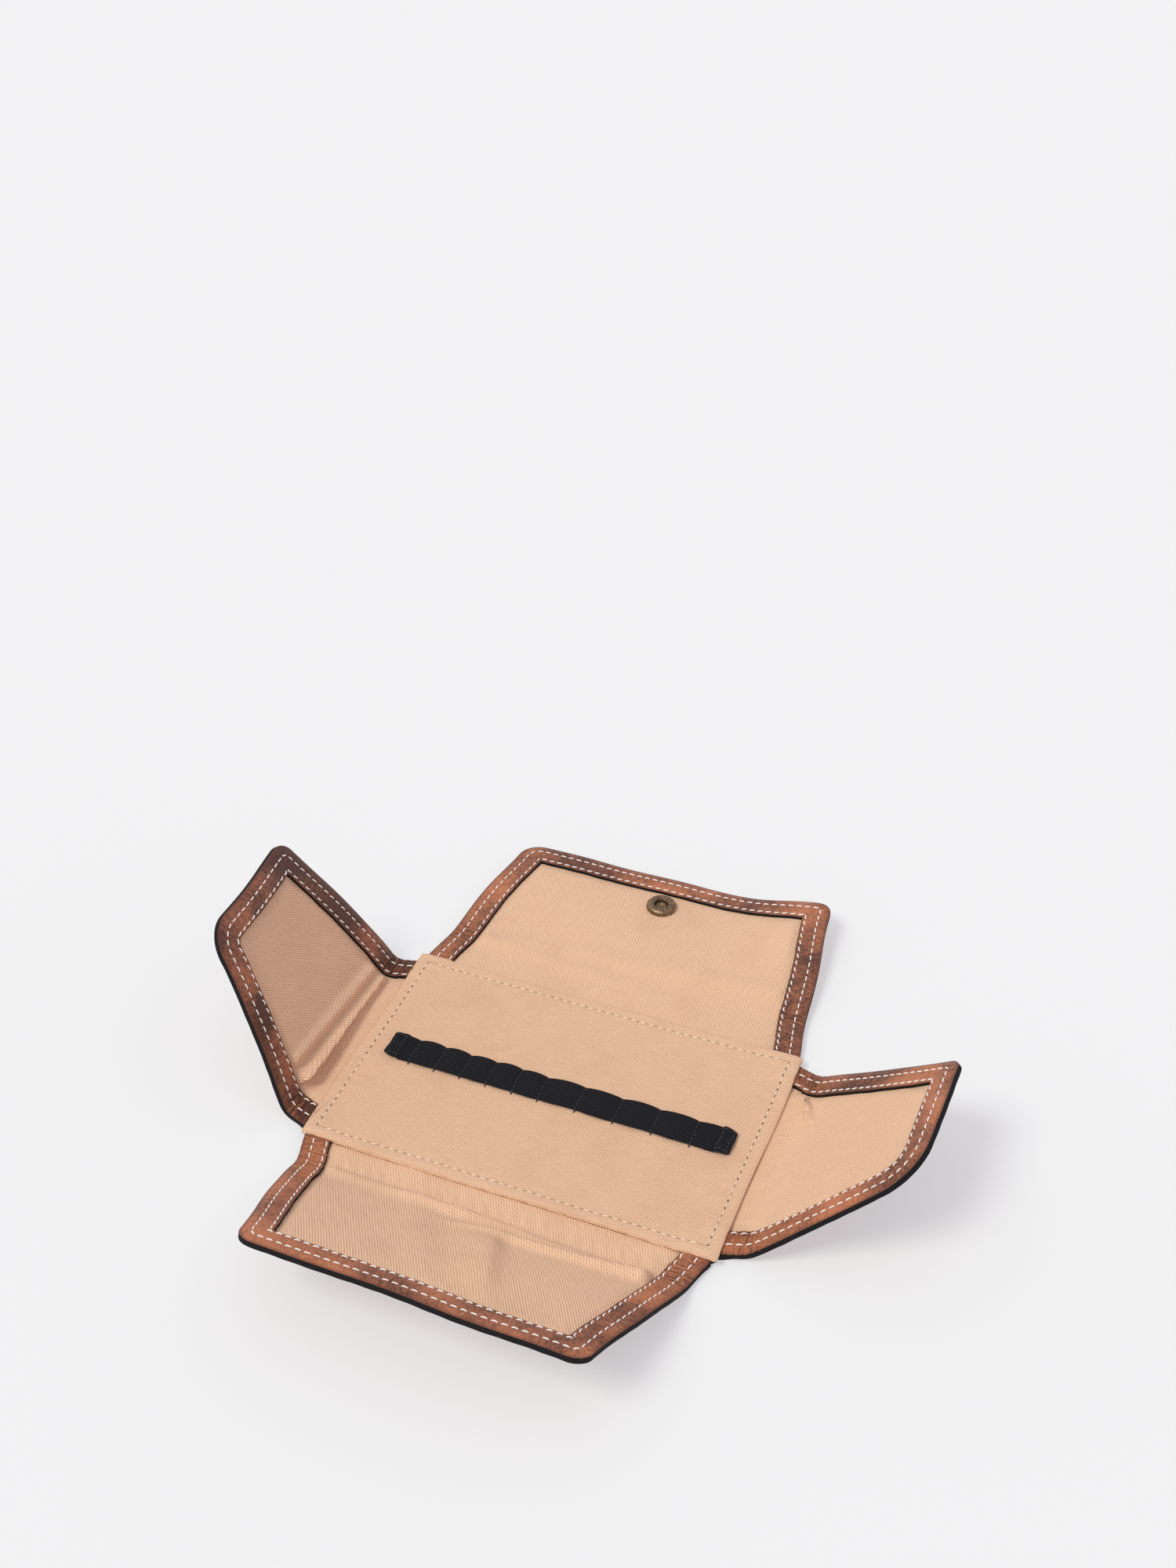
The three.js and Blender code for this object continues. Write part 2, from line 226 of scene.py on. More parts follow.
def apply_modifier(piece, kind, **settings):
    pick(piece)
    modifier = piece.modifiers.new(kind.title(), kind)
    for key, value in settings.items():
        setattr(modifier, key, value)
    bpy.ops.object.modifier_apply(modifier=modifier.name)


def read_points(piece):
    points = np.empty(len(piece.data.vertices) * 3)
    piece.data.vertices.foreach_get("co", points)
    return points.reshape(-1, 3)


def write_points(piece, points):
    piece.data.vertices.foreach_set("co", np.asarray(points).ravel())
    piece.data.update()


def store(piece, name, values):
    """Keeps a number at each point, for the material to read."""
    attribute = piece.data.attributes.new(name, "FLOAT", "POINT")
    attribute.data.foreach_set("value", values.astype(np.float32))


def new_piece(name, points, edges, faces):
    mesh = bpy.data.meshes.new(name)
    mesh.from_pydata(points, edges, faces)
    piece = bpy.data.objects.new(name, mesh)
    bpy.context.scene.collection.objects.link(piece)
    return piece


def grid_piece(name, t, s, height, along, across, *materials):
    """A grid laid out flat. t, s, along and across are arrays of one shape: the first two place
    each point, the last two are its pattern coordinates in millimetres. The second material, if
    there is one, is for its cut edges."""
    columns, rows = t.shape
    bpy.ops.object.select_all(action="DESELECT")
    bpy.ops.mesh.primitive_grid_add(x_subdivisions=columns - 1, y_subdivisions=rows - 1, size=2)
    piece = bpy.context.object
    piece.name = piece.data.name = name
    start = read_points(piece)
    i = np.rint((start[:, 0] + 1) / 2 * (columns - 1)).astype(int)
    j = np.rint((start[:, 1] + 1) / 2 * (rows - 1)).astype(int)
    heights = np.broadcast_to(height, t.shape)
    write_points(piece, np.c_[t[i, j], s[i, j], heights[i, j]])
    corner = np.empty(len(piece.data.loops), int)
    piece.data.loops.foreach_get("vertex_index", corner)
    pattern = np.c_[along[i, j], across[i, j]][corner] / MM
    piece.data.uv_layers.active.data.foreach_set("uv", pattern.ravel())
    dress(piece, *materials)
    return piece


def thicken(piece, thickness):
    """Gives a sheet its thickness upwards, with its cut edges in its last material."""
    last = len(piece.data.materials) - 1
    apply_modifier(piece, "SOLIDIFY", thickness=thickness, offset=1, material_offset_rim=last)


def anywhere(points):
    return np.full(len(points), True)


def round_rim(piece, width, segments, chosen=anywhere):
    """Bevels the sharp edges of which both ends are chosen(points)."""
    pick(piece)
    mask = chosen(read_points(piece))
    bpy.ops.object.mode_set(mode="EDIT")
    bpy.ops.mesh.select_all(action="DESELECT")
    bpy.ops.mesh.select_mode(type="EDGE")
    bpy.ops.mesh.edges_select_sharp(sharpness=math.radians(CUT_EDGE))
    bpy.ops.object.mode_set(mode="OBJECT")
    for edge in piece.data.edges:
        edge.select = edge.select and bool(mask[edge.vertices[0]] and mask[edge.vertices[1]])
    bpy.ops.object.mode_set(mode="EDIT")
    bpy.ops.mesh.bevel(offset=width, segments=segments, affect="EDGES")
    bpy.ops.object.mode_set(mode="OBJECT")


def dress(piece, *materials):
    piece.data.materials.clear()
    for material in materials:
        piece.data.materials.append(material)


# Angles in degrees up to which neighbouring faces are shaded as one surface
CUT_EDGE, HEM, THREAD, TURNED, WIRE = 50, 60, 80, 35, 40


def shade(piece, angle=CUT_EDGE):
    pick(piece)
    bpy.ops.object.shade_smooth_by_angle(angle=math.radians(angle))


def join(name, parts):
    pick(parts[0])
    for part in parts:
        part.select_set(True)
    bpy.ops.object.join()
    joined = bpy.context.object
    joined.name = joined.data.name = name
    return joined


def copies(name, unit, places):
    """One mesh of copies of unit, one for each matrix in places. unit is used up."""
    points = read_points(unit)
    faces = [tuple(face.vertices) for face in unit.data.polygons]
    one = np.c_[points, np.ones(len(points))]
    moved = [one @ np.array(place, float).T[:, :3] for place in places]
    count = len(points)
    all_faces = [tuple(v + k * count for v in face) for k in range(len(places)) for face in faces]
    bpy.data.objects.remove(unit)
    return new_piece(name, np.vstack(moved).tolist(), [], all_faces)


def stitch_unit(stitch_length, width, height):
    """One stitch: a thread that rises from its hole, lies along X and dives again."""
    bpy.ops.object.select_all(action="DESELECT")
    bpy.ops.mesh.primitive_cylinder_add(vertices=8, radius=0.5, depth=1, end_fill_type="TRIFAN")
    unit = bpy.context.object
    bpy.ops.object.mode_set(mode="EDIT")
    bpy.ops.mesh.select_all(action="SELECT")
    bpy.ops.transform.rotate(value=math.radians(90), orient_axis="Y", center_override=(0, 0, 0))
    for cut in (-0.38, -0.25, 0, 0.25, 0.38):  # as shares of its length
        bpy.ops.mesh.select_all(action="SELECT")
        bpy.ops.mesh.bisect(plane_co=(cut, 0, 0), plane_no=(1, 0, 0))
    bpy.ops.object.mode_set(mode="OBJECT")
    x, y, z = read_points(unit).T
    thin = 1 - 0.55 * smooth((np.abs(x) - 0.3) / 0.2)
    sink = 0.75 * smooth((np.abs(x) - 0.22) / 0.28)
    write_points(unit, np.c_[x * stitch_length, y * width * thin, (z * thin - sink) * height])
    return unit


# ---------------------------------------------------------------- shape of a flap


def half_width(flap, s):
    root = flap.half - flap.inset
    return root + (flap.tip - root) * s / flap.reach


def lean(flap):
    return math.atan2(half_width(flap, 0) - flap.tip, flap.reach)


TIGHTEST_TURN = 0.6 * MM  # smallest radius at which a line rounds a corner


def edge_half(flap, radius, inset, start, leg, corner):
    """Points (t, s) of a line up one side of a flap and round its corner, inset from its
    outline. leg and corner are their numbers of steps."""
    slope = lean(flap)
    radius = max(radius - inset, TIGHTEST_TURN)
    top = flap.reach - inset

    def side(s):
        return half_width(flap, s) - inset / math.cos(slope)

    centre_s = top - radius
    centre_t = side(centre_s) - radius / math.cos(slope)
    leg_s = np.linspace(start, centre_s + radius * math.sin(slope), leg + 1)
    angles = np.linspace(slope, math.pi / 2, corner + 1)[1:]
    t = np.r_[side(leg_s), centre_t + radius * np.cos(angles)]
    return t, np.r_[leg_s, centre_s + radius * np.sin(angles)]


def edge_line(flap, inset, start, step):
    """Points (t, s) of a line that runs up a flap's +t side, round its tip and down its -t
    side, inset from its outline. Lines of one flap, start and step have as many points."""
    leg, corner = int((flap.reach - start) / step), 14
    up_t, up_s = edge_half(flap, flap.corners[0], inset, start, leg, corner)
    down_t, down_s = edge_half(flap, flap.corners[1], inset, start, leg, corner)
    across = np.linspace(up_t[-1], -down_t[-1], int(2 * flap.tip / step) + 1)[1:-1]
    return (
        np.r_[up_t, across, -down_t[::-1]],
        np.r_[up_s, np.full(len(across), up_s[-1]), down_s[::-1]],
    )


def half_ends(flap, s, radius, margin):
    """Half the width of a flap's sheet at s, on the side whose corner has this radius."""
    slope = lean(flap)
    radius = radius - margin
    centre_s = flap.reach - margin - radius
    straight = half_width(flap, s) - margin / math.cos(slope)
    centre_t = half_width(flap, centre_s) - (margin + radius) / math.cos(slope)
    reach = np.clip(s - centre_s, 0, radius)
    arc = centre_t + np.sqrt(np.maximum(radius**2 - reach**2, 0))
    return np.where(s > centre_s + radius * math.sin(slope), arc, straight)


def sheet_grid(flap, start, margin, step):
    """t and s of a grid that fills a flap's outline from s = start to its tip, closer in its
    fold and towards its rounded end."""
    radius = max(flap.corners) - margin
    top = flap.reach - margin
    folds = np.arange(start, flap.wall + 17 * MM, 0.55 * step)
    body = np.arange(folds[-1] + step, top - radius, step)
    s = np.r_[folds, body, top - radius + radius * np.sin(np.linspace(0, math.pi / 2, 18))]
    share = edged(-flap.half, flap.half, step)[:, None] / flap.half
    right = half_ends(flap, s, flap.corners[0], margin)[None, :]
    left = half_ends(flap, s, flap.corners[1], margin)[None, :]
    t = share * np.where(share > 0, right, left)
    return t, np.broadcast_to(s[None, :], t.shape).copy()


def edge_distance(flap, t, s):
    """Distance in from a flap's outline."""
    side = (half_width(flap, s) - np.abs(t)) * math.cos(lean(flap))
    top = flap.reach - s
    radius = np.where(t > 0, flap.corners[0], flap.corners[1])
    corner = radius - np.hypot(radius - side, radius - top)
    return np.where((side < radius) & (top < radius), corner, np.minimum(side, top))


def rolling(flap, t, s):
    """Slow unevenness of the leather, nothing at the base and most at the free edge. The rear
    flap's right corner is lifted too."""
    share = np.clip(s / flap.reach, 0, 1.03) ** 1.5
    phase = 2 * flap.turn + 0.7
    slow = np.sin(t / (19 * MM) + phase) + 0.6 * np.sin(t / (9 * MM) + 2.1 * phase)
    along = 0.6 * np.sin(s / (11 * MM) + phase) * np.sin(t / (31 * MM))
    even = 0.35 * MM * share * (slow + along)
    if flap.name != "rear":
        return even
    free = smooth((s - 40 * MM) / (56 * MM))
    lifted = 4.6 * MM * smooth((t - 38 * MM) / (42 * MM))
    sunk = -2.0 * MM * bell(t - 22 * MM, 26 * MM)
    return even + free * (lifted + sunk)


def bend(flap, t, s, height):
    """Where the point (t, s, height) of a flap's flat pattern rests in the frame."""
    span = flap.reach - flap.wall
    free = np.clip(s / flap.reach, 0, 1.05)
    drawn_in = 0.013 * bell(s - flap.wall, flap.bend)
    wavy = 0.005 * free * np.sin(s / (7 * MM) + 4 * flap.turn)
    t = t * (1 - drawn_in + wavy)
    s = s + 0.45 * MM * free**4 * np.sin(t / (10 * MM) + 3 * flap.turn)
    line = np.linspace(0, flap.reach * 1.1, 600)
    share = np.clip((line - flap.wall) / span, 0, None)
    turn = flap.fold * smooth((line - flap.wall + flap.bend / 2) / flap.bend) + flap.curl * share
    middle = (turn[1:] + turn[:-1]) / 2
    step = line[1] - line[0]
    out = np.r_[0, np.cumsum(np.cos(middle)) * step]
    up = np.r_[0, np.cumsum(np.sin(middle)) * step]
    u = np.where(s < 0, s, np.interp(s, line, out))
    z = np.interp(s, line, up)
    angle = np.interp(s, line, turn)
    share = np.clip((s - flap.wall) / span, 0, None)
    side = t / flap.half
    lift = flap.twist * share * side + flap.cup * share**1.5 * side**2 + rolling(flap, t, s)
    rise = height - CREASE + lift
    u = u - rise * np.sin(angle)
    z = CREASE + z + rise * np.cos(angle)
    c, n = math.cos(flap.turn), math.sin(flap.turn)
    return np.c_[c * t - n * u + flap.edge.x, n * t + c * u + flap.edge.y, z]


CAGE_POINTS = (33, 64, 2)  # across the flap, along it and through its layers


def flap_lattice(flap):
    """A cage that bends everything laid out flat on a flap's pattern into its resting shape."""
    data = bpy.data.lattices.new(f"{flap.name}_cage")
    cage = bpy.data.objects.new(data.name, data)
    bpy.context.scene.collection.objects.link(cage)
    data.points_u, data.points_v, data.points_w = CAGE_POINTS
    data.interpolation_type_u = data.interpolation_type_v = "KEY_BSPLINE"
    data.interpolation_type_w = "KEY_LINEAR"
    low = np.array((-flap.half - 18 * MM, -14 * MM, -4 * MM))
    high = np.array((flap.half + 18 * MM, flap.reach + 7 * MM, 12 * MM))
    centre, size = (low + high) / 2, high - low
    cage.location = centre
    cage.scale = size
    flat = np.array([point.co for point in data.points], float) * size + centre
    placed = (bend(flap, *flat.T) - centre) / size
    for point, place in zip(data.points, placed):
        point.co_deform = place
    bpy.context.view_layer.update()
    return cage


CAGES = {}


def settle(piece, flap):
    """Bends a flat piece with its flap's cage."""
    if flap.name not in CAGES:
        CAGES[flap.name] = flap_lattice(flap)
    apply_modifier(piece, "LATTICE", object=CAGES[flap.name])


def on_flap(flap, t, s, height):
    return Vector(bend(flap, np.array([t]), np.array([s]), np.array([height]))[0])


def hang_wall(piece, flap):
    """Bakes the piece's placement into its mesh."""
    start = on_flap(flap, 0, 0, CREASE)
    end = on_flap(flap, 0, flap.wall / 2, CREASE)
    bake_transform(piece)


def hang_flap(piece, flap):
    """Bakes the piece's placement into its mesh."""
    start = on_flap(flap, 0, flap.wall / 2, CREASE)
    end = on_flap(flap, 0, flap.wall + flap.bend / 2 + 1 * MM, CREASE)
    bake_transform(piece)


# ---------------------------------------------------------------- materials


SOCKETS = {
    "specular": "Specular IOR Level",
    "metallic": "Metallic",
    "sheen": "Sheen Weight",
    "sheen_roughness": "Sheen Roughness",
    "glow": "Emission Strength",
    "glow_colour": "Emission Color",
}


class Nodes:
    """A material's node tree, with short ways to add to it."""

    def __init__(self, name):
        self.material = bpy.data.materials.new(name)
        self.material.use_nodes = True
        self.tree = self.material.node_tree
        self.shader = self.tree.nodes["Principled BSDF"]

    def add(self, kind, inputs=None, **settings):
        node = self.tree.nodes.new(kind)
        for key, value in settings.items():
            setattr(node, key, value)
        for key, value in (inputs or {}).items():
            self.set(node.inputs[key], value)
        return node

    def set(self, socket, value):
        if isinstance(value, bpy.types.NodeSocket):
            self.tree.links.new(value, socket)
        else:
            socket.default_value = value

    def math(self, operation, a, b=0.0):
        return self.add("ShaderNodeMath", {0: a, 1: b}, operation=operation).outputs[0]

    def weighted(self, *terms):
        """Sum of the values of (value, weight) terms, each times its weight."""
        parts = [self.math("MULTIPLY", value, weight) for value, weight in terms]
        total = parts[0]
        for part in parts[1:]:
            total = self.math("ADD", total, part)
        return total

    def rising(self, value, start, gain):
        """start where the value is 0, and start + gain where it is 1."""
        return self.math("ADD", start, self.math("MULTIPLY", value, gain))

    def coordinate(self, kind):
        return self.add("ShaderNodeTexCoord").outputs[kind]

    def stored(self, name):
        """A number that store() keeps on the piece, 0 where it keeps none."""
        return self.add("ShaderNodeAttribute", attribute_name=name).outputs["Fac"]

    def scaled(self, vector, scale):
        return self.add("ShaderNodeMapping", {"Vector": vector, "Scale": scale}).outputs[0]

    def spun(self, vector, angle):
        inputs = {"Vector": vector, "Rotation": (0, 0, angle)}
        return self.add("ShaderNodeMapping", inputs).outputs[0]

    def noise(self, vector, scale, detail=3.0, roughness=0.55):
        inputs = {"Vector": vector, "Scale": scale, "Detail": detail, "Roughness": roughness}
        return self.add("ShaderNodeTexNoise", inputs).outputs["Fac"]

    def ramp(self, value, low, high):
        inputs = {"Value": value, "From Min": low, "From Max": high}
        return self.add("ShaderNodeMapRange", inputs).outputs[0]

    def mix(self, share, a, b):
        node = self.add("ShaderNodeMix", data_type="RGBA")
        self.set(node.inputs[0], share)
        for socket, value in ((node.inputs[6], a), (node.inputs[7], b)):
            self.set(socket, value if isinstance(value, bpy.types.NodeSocket) else (*value, 1))
        return node.outputs[2]

    def bump(self, height, distance, strength=1.0, normal=None):
        inputs = {"Height": height, "Distance": distance, "Strength": strength}
        node = self.add("ShaderNodeBump", inputs)
        if normal is not None:
            self.set(node.inputs["Normal"], normal)
        return node.outputs[0]

    def wave(self, vector, pitch, direction, distortion=0.0):
        """Even ridges of this pitch along one pattern coordinate, all in millimetres."""
        scale = 2 * math.pi / 20 / pitch
        inputs = {"Vector": vector, "Scale": scale, "Distortion": distortion, "Detail": 2.0}
        node = self.add("ShaderNodeTexWave", inputs, bands_direction=direction)
        return node.outputs["Fac"]

    def finish(self, base, roughness, normal=None, **constants):
        """Sets what the shader reads, and returns the material. constants: its other sockets,
        each with one number for the whole surface."""
        self.set(self.shader.inputs["Base Color"], base)
        self.set(self.shader.inputs["Roughness"], roughness)
        if normal is not None:
            self.set(self.shader.inputs["Normal"], normal)
        for name, value in constants.items():
            self.shader.inputs[SOCKETS[name]].default_value = value
        return self.material


def shades(base, factor):
    return tuple(channel * factor for channel in base)


def finished(build):
    """Makes each material once, however many pieces wear it."""
    made = {}

    def get():
        if build.__name__ not in made:
            made[build.__name__] = build()
        return made[build.__name__]

    return get


def grain_height(nodes, place):
    """Pebbled grain of the leather: small cells, some of them run together, with fine pores."""
    small, large = (
        nodes.add("ShaderNodeTexVoronoi", {"Vector": place, "Scale": scale}).outputs["Distance"]
        for scale in (1300.0, 520.0)
    )
    pores = nodes.noise(place, 1700.0, 4.0, 0.7)
    return nodes.weighted((small, 0.6), (large, 0.5), (pores, 0.8))


@finished
def border_leather():
    """Waxed leather, darker in soft patches, with painted shade at its rims where they roll down
    and per border a darkening that is partly its own tone and partly painted shade, painted
    highlights and shadows on the lines where it is crushed in a fold, and a hollow along each row
    of stitches."""
    nodes = Nodes("border_leather")
    leather, dark = colours().leather, colours().leather_dark
    place, pattern = nodes.coordinate("Object"), nodes.coordinate("UV")
    crush, waxed = nodes.stored("crush"), nodes.stored("waxed")
    clouds = nodes.noise(place, 95.0, 4.0, 0.6)
    patches = nodes.noise(place, 34.0, 2.0, 0.5)
    streaks = nodes.noise(nodes.scaled(pattern, (1.5, 0.22, 1.0)), 1.0, 4.0, 0.65)
    grain = grain_height(nodes, place)
    tone = nodes.weighted((clouds, 0.22), (streaks, 0.40), (grain, 0.30), (patches, 0.95))
    # waxed darkens each border: partly its own tone, partly painted shade in place of sheen
    tone = nodes.ramp(nodes.math("SUBTRACT", tone, waxed), 0.87, 1.21)
    blend = nodes.mix(tone, shades(dark, 0.62), shades(leather, 1.27))
    across = nodes.add("ShaderNodeSeparateXYZ", {0: pattern}).outputs[1]
    width = sizes().border_width / MM
    from_edge = nodes.math("MINIMUM", across, nodes.math("SUBTRACT", width, across))
    # Painted shade at both long edges of the strip, where they roll down
    rim = nodes.math("MULTIPLY", nodes.ramp(from_edge, 1.7, 0.3), 0.7)
    blend = nodes.mix(rim, blend, dark)
    # Painted highlight and painted shadow along the crinkle lines of a fold, where crush is high
    lines = nodes.noise(nodes.scaled(pattern, (0.85, 0.10, 1.0)), 1.0, 3.0, 0.6)
    for low, high, strength, painted_highlight_and_shade in (
        (0.52, 0.66, 0.6, shades(leather, 1.45)),
        (0.46, 0.34, 0.75, shades(dark, 0.55)),
    ):
        share = nodes.math("MULTIPLY", crush, nodes.ramp(lines, low, high))
        blend = nodes.mix(nodes.math("MULTIPLY", share, strength), blend, painted_highlight_and_shade)
    outer, inner = (
        nodes.math("ABSOLUTE", nodes.math("SUBTRACT", across, row / MM))
        for row in (sizes().outer_row, sizes().inner_row)
    )
    groove = nodes.ramp(nodes.math("MINIMUM", outer, inner), 0.0, 0.9)
    normal = nodes.bump(grain, 0.30 * MM, 0.9)
    normal = nodes.bump(groove, 0.25 * MM, 0.8, normal)
    normal = nodes.bump(streaks, 0.8 * MM, 0.7, normal)
    normal = nodes.bump(nodes.math("MULTIPLY", lines, crush), 3.0 * MM, 0.9, normal)
    return nodes.finish(blend, nodes.rising(clouds, 0.30, 0.30), normal, specular=0.5)


def paint(nodes, place):
    """Colour of the edge paint, rubbed through here and there."""
    worn = nodes.ramp(nodes.noise(place, 420.0, 4.0, 0.65), 0.60, 0.78)
    return nodes.mix(worn, colours().edge_paint, shades(colours().leather_dark, 0.5))


@finished
def outer_leather():
    """Plainer, drier leather, scuffed, with the edge paint run over its rim."""
    nodes = Nodes("outer_leather")
    place = nodes.coordinate("Object")
    clouds = nodes.noise(place, 38.0, 4.0, 0.6)
    scuffs = nodes.noise(nodes.scaled(place, (60.0, 240.0, 60.0)), 1.0, 4.0, 0.65)
    tone = nodes.ramp(nodes.math("ADD", clouds, nodes.math("MULTIPLY", scuffs, 0.3)), 0.42, 0.85)
    blend = nodes.mix(tone, shades(colours().leather_dark, 1.1), colours().leather)
    painted = nodes.ramp(nodes.stored("by_edge"), 1.75, 2.0)
    blend = nodes.mix(painted, blend, paint(nodes, place))
    rough = nodes.rising(clouds, 0.42, 0.25)
    rough = nodes.math("ADD", rough, nodes.math("MULTIPLY", painted, 0.35))
    creases = nodes.noise(place, 160.0, 3.0, 0.6)
    normal = nodes.bump(grain_height(nodes, place), 0.28 * MM, 0.9)
    normal = nodes.bump(creases, 0.5 * MM, 0.4, normal)
    return nodes.finish(blend, rough, normal, specular=0.45)


@finished
def edge_paint():
    nodes = Nodes("edge_paint")
    place = nodes.coordinate("Object")
    fibres = nodes.noise(nodes.scaled(place, (700.0, 700.0, 1500.0)), 1.0, 4.0, 0.7)
    normal = nodes.bump(fibres, 0.6 * MM, 0.9)
    return nodes.finish(paint(nodes, place), 0.75, normal, specular=0.2)


def twill(name, wale, contrast, seam=False):
    """Cotton twill: slanting wales, wale millimetres apart, broken into short floats by the
    threads across them. contrast: how strongly the weave shades the cloth."""
    nodes = Nodes(name)
    pattern, place = nodes.coordinate("UV"), nodes.coordinate("Object")
    valley = colours().canvas_dark
    ribs = nodes.wave(pattern, wale, "X", 0.8)
    floats = nodes.wave(nodes.spun(pattern, 0.6), 1.08 * wale, "Y", 0.6)
    weave = nodes.math("MULTIPLY", ribs, nodes.rising(floats, 0.06, 0.94))
    slubs = nodes.noise(nodes.scaled(pattern, (1.3, 0.10, 1.0)), 1.0, 3.0)
    flecks = nodes.noise(pattern, 0.9, 4.0, 0.7)
    clouds = nodes.noise(place, 42.0, 4.0, 0.6)
    tone = nodes.weighted((weave, contrast), (slubs, 0.35), (flecks, 0.35))
    tone = nodes.ramp(tone, 0.13, 0.365 + 0.335 * contrast)
    blend = nodes.mix(tone, valley, colours().canvas)
    stain = nodes.math("MULTIPLY", nodes.ramp(clouds, 0.50, 0.75), 0.22)
    blend = nodes.mix(stain, blend, shades(valley, 1.1))
    # The seam's needle holes and groove get painted shade
    if seam:
        blend = nodes.mix(seam_hole_shade(nodes, place), blend, shades(valley, 0.10))
    normal = nodes.bump(weave, 0.50 * MM, 0.9)
    normal = nodes.bump(nodes.noise(place, 2400.0, 2.0), 0.08 * MM, 0.4, normal)
    return nodes.finish(blend, 0.92, normal, specular=0.25, sheen=0.08, sheen_roughness=0.5)


def seam_hole_shade(nodes, place):
    """Painted shade in the needle holes along the centre panel's seam, largest on its two short
    sides, and a faint line of painted shade along the seam's groove."""
    parts = nodes.add("ShaderNodeSeparateXYZ", {0: place}).outputs
    pitch, inset = sizes().seam_pitch, sizes().seam_inset
    uneven = nodes.ramp(nodes.noise(place, 120.0, 1.0), 0.35, 0.6)
    total = None
    for along, beside, half, other, size in (
        (parts[1], parts[0], HALF_LENGTH, HALF_DEPTH, 1.0),
        (parts[0], parts[1], HALF_DEPTH, HALF_LENGTH, 0.55),
    ):
        off_line = nodes.math("SUBTRACT", nodes.math("ABSOLUTE", beside), half - inset)
        # Painted shade along the seam's groove
        fold = nodes.ramp(nodes.math("ABSOLUTE", off_line), 0.45 * MM, 0.1 * MM)
        fold = nodes.math("MULTIPLY", fold, 0.30)
        inside = nodes.ramp(nodes.math("ABSOLUTE", along), other - 4.6 * MM, other - 5.2 * MM)
        step = nodes.math("PINGPONG", nodes.math("ADD", along, 50 * pitch), pitch / 2)
        off_line = nodes.math("DIVIDE", off_line, 0.34 * MM * size)
        step = nodes.math("DIVIDE", step, 0.58 * MM * size)
        gap = nodes.math("ADD", nodes.math("POWER", off_line, 2.0), nodes.math("POWER", step, 2.0))
        hole = nodes.math("MULTIPLY", nodes.ramp(gap, 1.3, 0.6), nodes.math("ADD", 0.45, uneven))
        hole = nodes.math("MINIMUM", nodes.math("MULTIPLY", hole, inside), 0.95)
        hole = nodes.math("MAXIMUM", hole, nodes.math("MULTIPLY", fold, inside))
        total = hole if total is None else nodes.math("MAXIMUM", total, hole)
    return total


@finished
def panel_canvas():
    return twill("panel_canvas", 0.95, 1.3, seam=True)


@finished
def flap_canvas():
    return twill("flap_canvas", 1.12, 1.2)


def thread(name, base, roughness=0.7):
    nodes = Nodes(name)
    fibre = nodes.noise(nodes.coordinate("Object"), 2200.0, 3.0)
    blend = nodes.mix(nodes.ramp(fibre, 0.3, 0.7), shades(base, 0.78), base)
    return nodes.finish(blend, roughness, nodes.bump(fibre, 0.1 * MM, 0.6))


@finished
def border_thread():
    return thread("border_thread", colours().thread)


@finished
def panel_thread():
    return thread("panel_thread", colours().panel_thread)


@finished
def black_thread():
    return thread("black_thread", shades(colours().elastic, 3.4), 0.6)


@finished
def ribbed_elastic():
    """Ribs along the band with the weft across them, with painted highlight on their crests and
    painted shade between them, and a little lint.
    """
    nodes = Nodes("ribbed_elastic")
    pattern, place = nodes.coordinate("UV"), nodes.coordinate("Object")
    ribs = nodes.wave(pattern, 1.15, "Y", 0.15)
    weft = nodes.wave(pattern, 0.6, "X", 0.4)
    height = nodes.math("ADD", ribs, nodes.math("MULTIPLY", weft, 0.45))
    # Painted highlight on the rib crests and painted shade in the hollows between them
    tone = nodes.ramp(height, 0.2, 1.4)
    blend = nodes.mix(tone, shades(colours().elastic, 0.2), shades(colours().elastic, 6.0))
    lint = nodes.ramp(nodes.noise(place, 900.0, 2.0), 0.66, 0.8)
    blend = nodes.mix(nodes.math("MULTIPLY", lint, 0.12), blend, (0.10, 0.10, 0.11))
    return nodes.finish(blend, 0.95, nodes.bump(height, 0.9 * MM), specular=0.18)


@finished
def antique_brass():
    nodes = Nodes("antique_brass")
    patina = nodes.noise(nodes.coordinate("Object"), 650.0, 4.0, 0.6)
    brass = colours().brass
    blend = nodes.mix(nodes.ramp(patina, 0.35, 0.7), shades(brass, 0.35), shades(brass, 1.35))
    normal = nodes.bump(patina, 0.05 * MM, 0.5)
    return nodes.finish(blend, nodes.rising(patina, 0.28, 0.25), normal, metallic=0.9)


@finished
def studio_floor():
    floor, glow = (*colours().floor, 1), (*colours().floor_glow, 1)
    return Nodes("studio_floor").finish(floor, 1.0, specular=0.0, glow=1.0, glow_colour=glow)


# ---------------------------------------------------------------- base and centre panel


def over_legs(x, y):
    """1 where the panel lies over the end of a border leg, 0 away from them."""
    width = sizes().border_width
    total = np.zeros(np.shape(x))
    for along, beside, half_a, half_b, start in (
        (x, y, HALF_LENGTH, HALF_DEPTH, FLAPS["rear"].inset),
        (y, x, HALF_DEPTH, HALF_LENGTH, FLAPS["left"].inset),
    ):
        centre = half_a - start - width / 2
        across = smooth((width / 2 + 3 * MM - np.abs(np.abs(along) - centre)) / (5 * MM))
        depth = smooth((np.abs(beside) - half_b + 11 * MM) / (6 * MM))
        total = np.maximum(total, across * depth)
    return total


